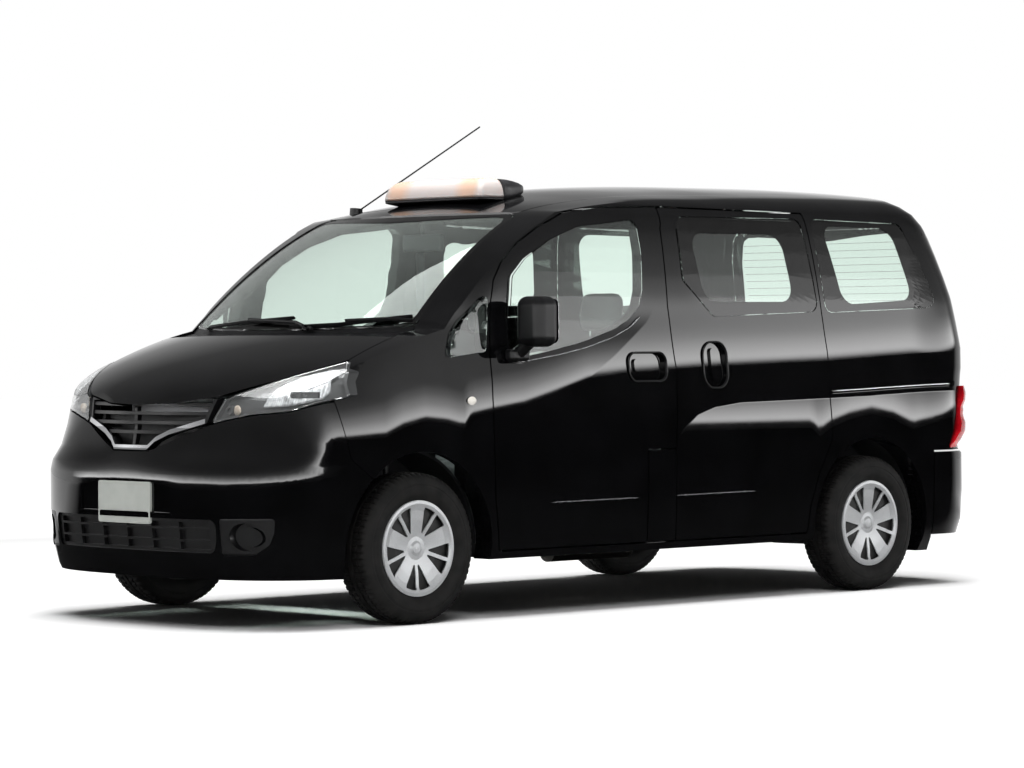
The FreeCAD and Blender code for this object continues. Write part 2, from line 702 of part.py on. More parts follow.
def build_shell_nodes():
    outer, cabin, bay = build_body()
    shell = outer.cut(cabin).cut(bay)
    left = shell.common(block(0, 900, -2400, 2400, 100, 2000))
    nodes = {}
    half = SHUT_GAP / 2

    # Top pieces
    hood_tool = hood_prism(-half)
    hood_space = hood_prism(half)
    screen_tool = prism_z(screen_plan(), 1050, 1800, 40, 0)
    roof_tool = prism_z(roof_plan(), 1500, 1900, 30, -half)
    gate_space = prism_y(TAILGATE, 1700, 2400, 30, half)
    cowl_tool = prism_z(cowl_plan(), 1000, 1400, 0, -half)
    leaf = hood_leaf()
    nodes["hood"] = clean(shell.common(hood_tool).fuse(leaf).fuse(flip(leaf)))
    roof = shell.common(roof_tool).cut(gate_space)
    for lug, slot in ((gate_lug(), gate_pin(20, 299, 316.5)), (flip(gate_lug()), flip(gate_pin(20, 299, 316.5)))):
        roof = roof.cut(slot).fuse(lug)
    nodes["roof_panel"] = biggest(roof)
    nodes["windscreen"] = clean(thin_layer(outer, prism_z(screen_plan(), 1050, 1800, 40, -0.4),
                                           V(0, 2.5, -4), V(0, 3, -5)))
    notch = block(688, 720, -1410, HOOD_AXIS[0] + 22, 1000, 1200)
    under_screen = outer.copy()
    under_screen.translate(V(0, 5.5, -9 - SEAT_GAP))
    cowl = thin_layer(outer, cowl_tool, V(0, 0, -12), V(0, 0, -10)).cut(notch).cut(flip(notch))
    nodes["cowl"] = clean(cowl.cut(screen_tool.cut(under_screen)))

    # Left side pieces
    glass_tools = {
        "front": prism_x(FRONT_DOOR_GLASS, 500, 900, GLASS_CORNER),
        "sliding": prism_x(SLIDING_GLASS, 500, 900, GLASS_CORNER),
        "rear": prism_x(REAR_SIDE_GLASS, 500, 900, GLASS_CORNER),
        "quarter": prism_x(QUARTER_GLASS, 500, 900, 18.0),
    }
    arches = [arch_cylinder(FRONT_AXLE_Y, ARCH_RADIUS, 480, 900), arch_cylinder(REAR_AXLE_Y, ARCH_RADIUS, 480, 900)]
    slab = left.common(block(560, 900, -2400, 2400, 100, 2000)).cut(arches[0]).cut(arches[1])
    slab = slab.cut(block(0, 900, FRONT_AXLE_Y, REAR_AXLE_Y, 0, ROCKER_Z))
    inside = outer.copy()
    inside.translate(V(-FLANGE_THICK, 0, 0))
    inside = inside.common(block(560, 900, -1100, 200, 100, 1750))
    for name, front_outline, sign in (("left", FRONT_DOOR_LEFT, 1), ("right", FRONT_DOOR_RIGHT, -1)):
        door = slab.common(prism_x(front_outline, 560, 900, 12, -half)).cut(glass_tools["front"])
        core = prism_x(front_outline, 560, 900, 12, -half - FLANGE_WIDE)
        door = door.cut(inside.cut(core)).cut(door_pin(PIN_RADIUS + RUN_GAP, SILL_Z + 30))
        door = handle(outer, door, HANDLE, HANDLE_PAD, 38)
        slider = slab.common(prism_x(SLIDING_DOOR, 560, 900, 12, -half)).cut(glass_tools["sliding"])
        slider = handle(outer, slider, SLIDER_HANDLE, SLIDER_PAD, 52)
        side = slab.cut(prism_x(front_outline, 560, 900, 12, half)).cut(prism_x(SLIDING_DOOR, 560, 900, 12, half))
        side = side.cut(glass_tools["rear"]).cut(glass_tools["quarter"])
        side = side.cut(block(0, 900, REAR_BUMPER_FRONT - half, 2400, 0, REAR_BUMPER_TOP + half))
        side = side.cut(prism_y(TAILGATE, 1700, 2400, 30, half))
        side = side.cut(prism_x(TAIL_LAMP, TAIL_LAMP_X, 900, 10, 1.0))
        side = side.cut(prism_z(roof_plan(), 1500, 1900, 30, half)).cut(prism_z(screen_plan(), 1050, 1800, 40, 0))
        side = side.cut(hood_space).cut(prism_z(cowl_plan(), 1000, 1400, 0, half))
        side = side.cut(prism_x(RAIL, 780, 900, 8).cut(moved_skin(outer, -16, 0, 0)))
        fender_zone = prism_x([(-2400, 0), (-952, 0), (-948, SILL_Z), (-981, 1065), (-1233, 1010), (-1290, 1175),
                               (-1400, 1300), (-2400, 1300)], 560, 900)
        fender = side.common(fender_zone)
        side = side.cut(fender_zone).fuse(door_pin(PIN_RADIUS, SILL_Z + 26))
        fender = fender.fuse(hood_pin(PIN_RADIUS))
        bumper_zone = prism_x([(-2400, 0)] + [(-1600, 0)] + list(reversed(BUMPER_SEAM)) + [(-2400, 1000)], 0, 900)
        lamp = prism_y(LAMP, -2300, -1500, 14, half)
        under = prism_y([(0, 0), (900, 0)] + list(reversed(BUMPER_TOP)), -2400, -1000, 0, half)
        fender = fender.cut(lamp).cut(bumper_zone.common(under))
        flap = None
        if sign > 0:
            flap = slab.common(prism_x(FLAP, 560, 900, 12, -half)).common(block(FLAP_X + SEAT_GAP, 900, -2400, 2400, 0, 2000))
            side = side.cut(prism_x(FLAP, FLAP_X, 900, 12, half))
        pieces = {"front_door": door, "sliding_door": slider, "body_side": side, "fender": fender}
        for piece, shape in pieces.items():
            shape = biggest(shape)
            nodes[piece + "_" + name] = shape if sign > 0 else flip(shape)
        if flap is not None:
            nodes["body_side_left"] = Part.makeCompound([nodes["body_side_left"], biggest(flap)])
    panes = {}
    for name, points in (("front", FRONT_DOOR_GLASS), ("sliding", SLIDING_GLASS), ("rear", REAR_SIDE_GLASS)):
        panes[name] = biggest(side_window(outer, points))
    prism = prism_x(QUARTER_GLASS, 500, 900, 18, -0.4)
    panes["quarter"] = biggest(thin_layer(outer, prism, V(-GLASS_SINK, 0, 0), V(-GLASS_THICK, 0, 0)))
    nodes["door_glass_left"] = panes["front"]
    nodes["door_glass_right"] = flip(panes["front"])
    fixed = [panes["sliding"], panes["rear"], panes["quarter"]]
    nodes["side_glass"] = Part.makeCompound(fixed + [flip(p) for p in fixed])

    # Front and rear pieces
    nose = shell.common(block(-900, 900, -2400, -1300, FRONT_BUMPER_Z, 1100))
    nose = nose.cut(arch_cylinder(FRONT_AXLE_Y, ARCH_RADIUS, -900, 900))
    top_line = [(-x, z) for x, z in reversed(BUMPER_TOP[1:])] + BUMPER_TOP
    under = prism_y([(-900, 0), (-900, 905)] + top_line + [(900, 0)], -2400, -1000, 0, -half)
    bumper_zone = prism_x([(-2400, 0), (-1600, 0)] + list(reversed(BUMPER_SEAM)) + [(-2400, 1000)], -900, 900, 0, -half)
    bumper = nose.common(under).common(bumper_zone)
    bumper = bumper.cut(prism_y(INTAKE, -2300, -1950, 30))
    fog_hole = prism_y(FOG_PANEL, -2300, -1850, 12)
    bumper = bumper.cut(fog_hole).cut(flip(fog_hole)).cut(plate_seat(FRONT_SEAT, -1))
    nodes["front_bumper"] = biggest(bumper)
    fog = build_fog_lamp(outer)
    nodes["lower_grille"] = Part.makeCompound([build_lower_grille(outer), fog, flip(fog)])
    lamp = biggest(nose.common(prism_y(LAMP, -2300, -1500, 14, -half)).cut(hood_space))
    lens, housing = build_headlamp(outer, lamp)
    nodes["headlamps"] = Part.makeCompound([lens, flip(lens)])
    nodes["headlamp_housings"] = Part.makeCompound([housing, flip(housing)])
    nodes["grille"], nodes["grille_trim"] = build_grille(nose, hood_space, outer)
    nodes["wipers"] = build_wipers(outer)
    tail = left.common(prism_x(TAIL_LAMP, TAIL_LAMP_X, 900, 10, 0)).common(block(0, 900, 1700, 2400, 0, 2000))
    tail = biggest(tail.cut(prism_y(TAILGATE, 1700, 2400, 30, half)))
    nodes["tail_lamps"] = Part.makeCompound([tail, flip(tail)])
    rear = shell.common(block(-900, 900, REAR_BUMPER_FRONT + half, 2400, REAR_BUMPER_Z,
                              REAR_BUMPER_TOP - half))
    nodes["rear_bumper"] = biggest(rear.cut(arch_cylinder(REAR_AXLE_Y, ARCH_RADIUS + 20, -900, 900)))
    gate = shell.common(prism_y(TAILGATE, 1700, 2400, 30, -half))
    gate_glass = prism_y(TAILGATE_GLASS, 1700, 2400, 60)
    gate = gate.fuse(gate_arm()).fuse(flip(gate_arm()))
    gate = gate.cut(gate_glass).cut(plate_seat(REAR_SEAT, 1))
    nodes["tailgate"] = biggest(gate.common(block(-900, 900, 1700, 2400, 622, 2000)))
    nodes["tailgate_wiper"] = build_gate_wiper(outer)
    pane = thin_layer(outer, prism_y(TAILGATE_GLASS, 1700, 2400, 60, -0.4), V(0, -5, 0), V(0, -5, 0))
    nodes["tailgate_glass"] = biggest(pane)
    return nodes, outer, cabin, bay


REAR_FLOOR_Z = 405.0
REAR_FLOOR_Y = 1000.0
REAR_FLOOR_END = 2020.0


def inside_of(shape, hollow):
    """The shape trimmed to the hollow, a hair clear of its side walls."""
    for shift in (-SEAT_GAP, SEAT_GAP):
        room = hollow.copy()
        room.translate(V(shift, 0, 0))
        shape = shape.common(room)
    return shape


def wheel_house(y, x_in, x_out):
    """Half-round liner over a wheel with its inner wall."""
    ring = arch_cylinder(y, ARCH_RADIUS + 15, x_in, x_out).cut(arch_cylinder(y, ARCH_RADIUS + 3, x_in + 12, x_out))
    return ring.common(block(0, 900, y - 500, y + 500, FLOOR_Z - FLOOR_THICK, 900))


def build_floor(cabin, bay):
    """Floor, firewall, wheel houses and front rails, as one welded pan."""
    slab = block(-760, 760, FIREWALL_Y - FLOOR_THICK, REAR_FLOOR_Y + 20, FLOOR_Z - FLOOR_THICK, FLOOR_Z)
    riser = block(-760, 760, REAR_FLOOR_Y, REAR_FLOOR_Y + 20, FLOOR_Z - FLOOR_THICK, REAR_FLOOR_Z)
    rear = block(-760, 760, REAR_FLOOR_Y, REAR_FLOOR_END, REAR_FLOOR_Z - FLOOR_THICK, REAR_FLOOR_Z)
    sills = [block(sign * 695 - 65, sign * 695 + 65, -935, 925, ROCKER_Z, FLOOR_Z - 5) for sign in (1, -1)]
    pan = fused([slab, riser, rear] + sills)
    doorway = block(722, 900, -960, 100, SILL_Z - 10, 400)
    pan = inside_of(pan, cabin.fuse(bay)).cut(doorway).cut(flip(doorway))
    wall = block(-640, 640, FIREWALL_Y - FLOOR_THICK + 1, FIREWALL_Y - SEAT_GAP, FLOOR_Z - 10, 1080)
    rail = block(330, 400, -2020, FIREWALL_Y - 5, 330, 430)
    beam = block(-460, 460, -2250, -1995, 440, 540)
    beam_foot = block(300, 400, -2045, -1995, 330, 450)
    stay = block(300, 330, -2250, -2000, 500, 840)
    radiator = block(-330, 330, -2030, -2000, 430, 835)
    room = bay.copy()
    room.translate(V(0, SEAT_GAP, 0))
    front = fused([beam, beam_foot, flip(beam_foot), stay, flip(stay), radiator]).common(room)
    pieces = [pan, wall, rail, flip(rail), front]
    body = fused(pieces)
    for y, x_in, x_out in ((FRONT_AXLE_Y, 478, 722), (REAR_AXLE_Y, 545, 745)):
        hole = arch_cylinder(y, ARCH_RADIUS + 4, x_in + 1, 900)
        body = body.cut(hole).cut(flip(hole))
    houses = []
    for y, x_in, x_out in ((FRONT_AXLE_Y, 478, 722), (REAR_AXLE_Y, 545, 745)):
        ring = wheel_house(y, x_in, x_out)
        if y == FRONT_AXLE_Y:
            ring = ring.cut(Part.makeCylinder(STRUT_HOLE, 200, V(KINGPIN_X, y, 500), V(0, 0, 1)))
            tower = Part.makeCylinder(STRUT_HOLE + 12, STRUT_TOP_Z - 660, V(KINGPIN_X, y, 660), V(0, 0, 1))
            tower = tower.cut(Part.makeCylinder(STRUT_HOLE, STRUT_TOP_Z - 660 - 12, V(KINGPIN_X, y, 660), V(0, 0, 1)))
            tower = tower.cut(Part.makeCylinder(PISTON_RADIUS + RUN_GAP, 100, V(KINGPIN_X, y, 660), V(0, 0, 1)))
            ring = ring.fuse(tower)
        else:
            ring = ring.cut(block(0, 900, y - 90, y + 90, 200, AXLE_Z + 85))
        ring = inside_of(ring, cabin.fuse(bay))
        houses += [ring, flip(ring)]
    return clean(fused([body] + houses))


KINGPIN_X = 628.0
STRUT_HOLE = 44.0
STRUT_TOP_Z = 722.0
PISTON_RADIUS = 12.0


SPOKES = 5
WIDE_SPOKE = (27.0, 37.0)
NARROW_SPOKE = 7.0
WINDOW_RING = (66.0, 166.0)


def cover_window(sign):
    """One window of the wheel cover, between a wide spoke and the narrow one beside it."""
    inner, outer = WINDOW_RING
    turn = math.pi / SPOKES

    def at(radius, offset, angle):
        along = math.sqrt(radius * radius - offset * offset)
        return (sign * (offset * math.cos(angle) + along * math.sin(angle)),
                along * math.cos(angle) - offset * math.sin(angle))

    return [at(inner, WIDE_SPOKE[0], 0), at(outer, WIDE_SPOKE[1], 0), at(outer, 0, turn * 0.68),
            at(outer, -NARROW_SPOKE, turn), at(inner, -NARROW_SPOKE, turn)]


def build_wheel(centre, side):
    """Tyre and rim, with the outer face toward side."""
    r, w = TYRE_RADIUS, TYRE_WIDTH / 2
    tyre = turned([(-68, RIM_RADIUS), (-70, 192), (-w + 6, 205), (-w, 235), (-w + 5, 268), (-w + 20, 290), (-w + 42, r - 3), (-30, r),
                   (30, r), (w - 42, r - 3), (w - 20, 290), (w - 5, 268), (w, 235), (w - 6, 205), (70, 192), (68, RIM_RADIUS)],
                  side, centre)
    lip = RIM_RADIUS - SEAT_GAP
    barrel = turned([(-76, 190), (-76, lip - 6), (-40, lip - 8), (-10, lip - 16), (30, lip - 16), (60, lip - 8),
                     (76, lip - 6), (76, 190), (71, 190), (70.5, lip), (-70.5, lip), (-71, 190)], side, centre)
    disc = turned([(30, 30 + RUN_GAP), (46, 30 + RUN_GAP), (54, 60), (60, 110), (56, lip - 7), (46, lip - 7), (50, 110),
                   (40, 60)], side, centre)
    cover = turned([(40, 0), (67, 0), (66, 20), (61, 30), (60, 46), (61.5, 62), (67, 112), (69, 150), (75, 168),
                    (79, 177), (78, 187), (76, 187), (73, 177), (66, 168), (64, 150), (62, 112), (56, 62), (52, 46),
                    (40, 31)], side, centre)
    windows = []
    for i in range(SPOKES):
        for sign in (1, -1):
            tool = prism_x(cover_window(sign), 48, 90, 4)
            tool.rotate(V(0, 0, 0), V(1, 0, 0), i * 360.0 / SPOKES)
            if side < 0:
                tool = flip(tool)
            tool.translate(centre)
            windows.append(tool)
    return tyre, fused([barrel, disc, cover.cut(Part.makeCompound(windows))])


def build_knuckle():
    """Left knuckle: hub spindle, upright and strut about one vertical steering axis."""
    y = FRONT_AXLE_Y
    axis = KINGPIN_X
    spindle = Part.makeCylinder(30, 77, V(FRONT_TRACK / 2 - 38, y, AXLE_Z), V(1, 0, 0))
    carrier = Part.makeCylinder(62, 30, V(FRONT_TRACK / 2 - 66, y, AXLE_Z), V(1, 0, 0))
    drum = Part.makeCylinder(112, 12, V(FRONT_TRACK / 2 - 40, y, AXLE_Z), V(1, 0, 0))
    web = block(axis - 20, FRONT_TRACK / 2 - 60, y - 30, y + 30, AXLE_Z - 85, AXLE_Z + 85)
    strut = Part.makeCylinder(22, 300, V(axis, y, AXLE_Z - 60), V(0, 0, 1))
    piston = Part.makeCylinder(PISTON_RADIUS, STRUT_TOP_Z - 4 - 520, V(axis, y, 520), V(0, 0, 1))
    socket = Part.makeCylinder(PISTON_RADIUS + RUN_GAP, 24, V(axis, y, ARM_PIN_TOP - 24 + 1), V(0, 0, 1))
    return fused([web, carrier, spindle, drum, strut, piston]).cut(socket)


ARM_PIN_TOP = 234.0


def build_front_suspension():
    y = FRONT_AXLE_Y
    pieces = [block(-330, 330, y - 90, y + 90, 205, 260)]
    for sign in (1, -1):
        arm = prism_z([(sign * 300, y - 80), (sign * 300, y + 80), (sign * 560, y + 30), (sign * 660, y + 24),
                       (sign * 660, y - 24), (sign * 560, y - 30)], 185, 208, 10)
        pieces.append(arm)
        x0, x1 = sorted((sign * 300, sign * 398))
        pieces.append(block(x0, x1, y - 40, y + 40, 200, 330 - SEAT_GAP))
        pieces.append(Part.makeCylinder(PISTON_RADIUS, ARM_PIN_TOP - 190, V(sign * KINGPIN_X, y, 190), V(0, 0, 1)))
        pieces.append(block(sign * 200 - 30, sign * 200 + 30, y - 88, y - 56, 250, 345 - SEAT_GAP))
    return clean(fused(pieces))


def build_rear_axle():
    y = REAR_AXLE_Y
    half = REAR_TRACK / 2
    pieces = [Part.makeCylinder(38, 2 * half - 120, V(-half + 60, y, AXLE_Z), V(1, 0, 0))]
    for sign in (1, -1):
        pieces.append(Part.makeCylinder(30, 109, V(sign * (half - 70), y, AXLE_Z), V(sign, 0, 0)))
        pieces.append(Part.makeCylinder(110, 40, V(sign * (half - 84), y, AXLE_Z), V(sign, 0, 0)))
        x0, x1 = sorted((sign * 470, sign * 530))
        spring = prism_x([(y - 480, 264), (y - 240, 232), (y, 222), (y + 240, 232), (y + 480, 264), (y + 480, 240),
                          (y + 240, 208), (y, 192), (y - 240, 208), (y - 480, 240)], x0, x1)
        pieces.append(spring)
        pieces.append(block(x0, x1, y - 40, y + 40, 215, 275))
        pieces.append(block(x0, x1, y - 492, y - 468, 240, FLOOR_Z - FLOOR_THICK - SEAT_GAP))
        pieces.append(block(x0, x1, y + 468, y + 492, 240, REAR_FLOOR_Z - FLOOR_THICK - SEAT_GAP))
    return clean(fused(pieces))


SEAT_X = 355.0
FRONT_SEAT_Y = -260.0


def build_front_seats():
    pieces = []
    for sign in (1, -1):
        x = sign * SEAT_X
        y = FRONT_SEAT_Y
        base = block(x - 190, x + 190, y - 200, y + 180, FLOOR_Z, 480)
        cushion = soft_box(x - 250, x + 250, y - 260, y + 230, 470, 620, 40)
        back = prism_x([(y + 170, 590), (y + 330, 1130), (y + 420, 1120), (y + 290, 590)], x - 240, x + 240, 30)
        head = soft_box(x - 130, x + 130, y + 345, y + 435, 1150, 1330, 35)
        posts = [rod(V(x + d, y + 370, 1100), V(x + d, y + 385, 1170), 7) for d in (-60, 60)]
        pieces.append(fused([base, cushion, back, head] + posts))
    return Part.makeCompound(pieces)


def build_rear_seat():
    y = 620.0
    base = block(-500, 500, y - 150, y + 180, FLOOR_Z, 480)
    cushion = soft_box(-600, 600, y - 230, y + 220, 470, 610, 40)
    back = prism_x([(y + 150, 590), (y + 300, 1080), (y + 390, 1070), (y + 270, 590)], -600, 600, 30)
    pieces = [base, cushion, back]
    for x in (-330, 330):
        pieces.append(soft_box(x - 120, x + 120, y + 310, y + 395, 1095, 1240, 32))
        pieces += [rod(V(x + d, y + 340, 1050), V(x + d, y + 350, 1110), 7) for d in (-50, 50)]
    return fused(pieces)


WHEEL_CENTRE = V(-SEAT_X, -640.0, 1010.0)
COLUMN_TILT = 25.0


def column_direction():
    return V(0, math.cos(math.radians(COLUMN_TILT)), math.sin(math.radians(COLUMN_TILT)))


def build_dashboard():
    body = prism_x([(-1105, 700), (-1105, 1090), (-1180, 1150), (-1060, 1165), (-900, 1120), (-830, 1060), (-840, 900),
                    (-900, 720)], -726, 726, 30)
    console = block(-120, 120, -1000, -700, FLOOR_Z, 760)
    direction = column_direction()
    column = rod(WHEEL_CENTRE - direction * 320, WHEEL_CENTRE - direction * (60 + SEAT_GAP), 34)
    return body, console, column


def build_steering_wheel():
    ring = Part.makeTorus(185, 15, V(0, 0, 0), V(0, 0, 1))
    hub = Part.makeCylinder(62, 42, V(0, 0, -52), V(0, 0, 1))
    shaft = Part.makeCylinder(20, 9, V(0, 0, -60), V(0, 0, 1))
    spokes = []
    for angle in (0, 180, 270):
        spoke = rod(V(40, 0, -32), V(182, 0, 0), 12)
        spoke.rotate(V(0, 0, 0), V(0, 0, 1), angle)
        spokes.append(spoke)
    wheel = fused([ring, hub, shaft] + spokes)
    wheel.rotate(V(0, 0, 0), V(1, 0, 0), -(90 - COLUMN_TILT))
    wheel.translate(WHEEL_CENTRE)
    return wheel


def build_mirror(outer):
    """Left door mirror: arm and shell."""
    shell = soft_box(858, 1008, -884, -762, 1092, 1296, 42)
    arm = rod(V(846, -850, 1062), V(905, -840, 1110), 26)
    foot = soft_box(800, 872, -905, -796, 1034, 1084, 16)
    skin = outer.common(block(700, 900, -1050, -700, 950, 1200))
    skin.translate(V(SEAT_GAP, 0, 0))
    return biggest(fused([shell, arm, foot]).cut(skin))


SIGN_Y = (-540.0, -388.0)
SIGN_HALF = 306.0
SIGN_BASE_Z = 1680.0
SIGN_SPLIT_Z = 1738.0
SIGN_TOP_Z = 1808.0


def base_zone(low, high):
    return block(-SIGN_HALF, SIGN_HALF, SIGN_Y[0], SIGN_Y[1] + 200, low, high)


def build_roof_sign():
    """Base with its tapered rear cowl, and the lit shell above it."""
    y0, y1 = SIGN_Y
    low, mid, top = SIGN_BASE_Z, SIGN_SPLIT_Z, SIGN_TOP_Z
    half = SIGN_HALF
    base = prism_y([(8 - half, low), (half - 8, low), (half, mid), (-half, mid)], y0, y1, 8)
    rear = prism_x([(y1 - 2, low), (y1 - 2, top - 3), (y1 + 90, top - 8), (y1 + 172, top - 34), (y1 + 176, top - 60),
                    (y1 + 60, low)], -half, half, 14)
    taper = prism_z([(-half, y1 - 10), (half, y1 - 10), (half - 14, y1 + 90), (half - 60, y1 + 180),
                     (60 - half, y1 + 180), (14 - half, y1 + 90)], low - 20, top + 20, 30)
    lens = prism_x([(y0 + 2, mid + SEAT_GAP), (y0 + 36, top - 14), (y0 + 62, top), (y1 - 2 - SEAT_GAP, top),
                    (y1 - 2 - SEAT_GAP, mid + SEAT_GAP)], -half, half, 16)
    face = prism_y([(-half, mid), (half, mid), (half - 4, top - 34), (half - 36, top + 1), (36 - half, top + 1),
                    (4 - half, top - 34)], y0 - 10, y1 + 200, 24)
    return base, rear.common(taper).common(face.fuse(base_zone(low, mid))), lens.common(face)


def build_exhaust():
    bend = V(250, 980, 232)
    pipe = [rod(V(250, -1100, 232), bend, 24), rod(bend, V(420, 1850, 245), 24)]
    muffler = Part.makeCylinder(50, 480, V(250, -100, 216), V(0, 1, 0))
    hangers = [block(244, 256, y, y + 12, 250, FLOOR_Z - FLOOR_THICK - SEAT_GAP) for y in (-900, -400, 700)]
    return fused(pipe + [muffler] + hangers)


def build_parts():
    nodes, outer, cabin, bay = build_shell_nodes()
    base, cowl, lens = build_roof_sign()
    under_roof = outer.common(block(-330, 330, -560, -120, 1500, 1900))
    base = base.cut(under_roof)
    cowl = cowl.cut(under_roof)
    nodes["roof_sign_base"] = clean(fused([base, cowl]))
    nodes["roof_sign_lens"] = lens
    foot = Part.makeCylinder(28, 30, V(-580, -455, 1672), V(0, 0.1, 1)).cut(outer)
    mast = rod(V(-580, -452, 1685), V(-600, 316, 2093), 3.5)
    nodes["antenna"] = biggest(fused([biggest(foot), mast]).cut(outer))
    nodes["floor_pan"] = build_floor(cabin, bay)
    body, console, column = build_dashboard()
    dash = body.common(cabin)
    nodes["dashboard"] = clean(fused([dash, console.cut(block(-900, 900, -2000, 2000, 0, FLOOR_Z)), column]))
    nodes["front_seats"] = build_front_seats()
    nodes["rear_seat"] = build_rear_seat()
    nodes["steering_wheel"] = build_steering_wheel()
    nodes["engine_block"] = block(-320, 320, -1900, -1420, 345, 880)
    nodes["front_suspension"] = build_front_suspension()
    nodes["rear_axle"] = build_rear_axle()
    nodes["exhaust"] = build_exhaust()
    nodes["fuel_tank"] = soft_box(-560, 100, 180, 760, 190, FLOOR_Z - FLOOR_THICK - 0.3, 25)
    mirror = soft_box(-120, 120, -600, -570, 1500, 1570, 12)
    stem = rod(V(0, -585, 1560), V(0, -598, 1639.5), 9)
    nodes["cabin_mirror"] = fused([mirror, stem])
    nodes["door_mirror_left"] = build_mirror(outer)
    nodes["door_mirror_right"] = flip(nodes["door_mirror_left"])
    knuckle = build_knuckle()
    nodes["knuckle_left"] = knuckle
    nodes["knuckle_right"] = flip(knuckle)
    for name, y, track in (("front", FRONT_AXLE_Y, FRONT_TRACK), ("rear", REAR_AXLE_Y, REAR_TRACK)):
        for side, sign in (("left", 1), ("right", -1)):
            tyre, rim = build_wheel(V(sign * track / 2, y, AXLE_Z), sign)
            nodes["tyre_%s_%s" % (name, side)] = tyre
            nodes["rim_%s_%s" % (name, side)] = rim
    return nodes


def main():
    os.makedirs("parts", exist_ok=True)
    for name, shape in build_parts().items():
        shape.exportStep("parts/" + name + ".step")


main()
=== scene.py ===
import json
import math

import bmesh
import bpy
import numpy as np
from mathutils import Matrix, Vector
from mathutils.bvhtree import BVHTree
from mathutils.kdtree import KDTree


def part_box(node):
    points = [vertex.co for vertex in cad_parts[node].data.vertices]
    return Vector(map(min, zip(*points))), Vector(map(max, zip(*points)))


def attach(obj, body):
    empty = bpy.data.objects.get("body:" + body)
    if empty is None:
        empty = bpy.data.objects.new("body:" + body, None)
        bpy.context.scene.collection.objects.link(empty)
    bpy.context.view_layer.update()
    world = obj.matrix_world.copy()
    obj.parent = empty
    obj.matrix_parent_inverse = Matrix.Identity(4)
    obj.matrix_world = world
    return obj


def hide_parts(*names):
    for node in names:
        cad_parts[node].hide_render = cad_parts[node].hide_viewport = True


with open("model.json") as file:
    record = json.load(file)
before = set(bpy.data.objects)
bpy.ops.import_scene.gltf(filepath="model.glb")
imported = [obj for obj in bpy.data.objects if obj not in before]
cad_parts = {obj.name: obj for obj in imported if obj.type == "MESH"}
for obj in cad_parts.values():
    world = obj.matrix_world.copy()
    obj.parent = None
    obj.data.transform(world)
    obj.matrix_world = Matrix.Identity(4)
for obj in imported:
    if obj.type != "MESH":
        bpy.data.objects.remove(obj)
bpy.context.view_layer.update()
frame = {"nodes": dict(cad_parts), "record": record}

NODES = frame["nodes"]
RECORD = frame["record"]
BODY_OF = {node: body for body, nodes in RECORD["behaviour"]["bodies"].items() for node in nodes}
SLOT_OF = {part["node"]: part["material_slot"] for part in RECORD["subparts"]}
SIDES = (("left", 1), ("right", -1))

# Camera, as worked out from the wheels and the body lines
PHOTO_WIDTH = 1024
CAMERA_PLACE = (11.1259, -10.7934, 1.0949)
CAMERA_AZIMUTH = 46.04
CAMERA_PITCH = -0.61
CAMERA_ROLL = -0.2
CAMERA_FOCAL_PX = 3546.8
SENSOR_WIDTH = 36.0
BEHIND = (-0.7197, 0.6943, 0.0)


def add_object(name, data):
    thing = bpy.data.objects.new(name, data)
    bpy.context.scene.collection.objects.link(thing)
    return thing


def mesh_from(work, name):
    """Mesh of a finished bmesh, which is freed."""
    mesh = bpy.data.meshes.new(name)
    work.to_mesh(mesh)
    work.free()
    return mesh


def add_camera():
    data = bpy.data.cameras.new("camera")
    data.sensor_width = SENSOR_WIDTH
    data.lens = CAMERA_FOCAL_PX / PHOTO_WIDTH * SENSOR_WIDTH
    data.clip_end = 200.0
    camera = add_object("camera", data)
    turn = Matrix.Rotation(math.radians(CAMERA_AZIMUTH), 4, "Z")
    tip = Matrix.Rotation(math.radians(90.0 + CAMERA_PITCH), 4, "X")
    roll = Matrix.Rotation(math.radians(CAMERA_ROLL), 4, "Z")
    camera.matrix_world = Matrix.Translation(CAMERA_PLACE) @ turn @ tip @ roll
    bpy.context.scene.camera = camera


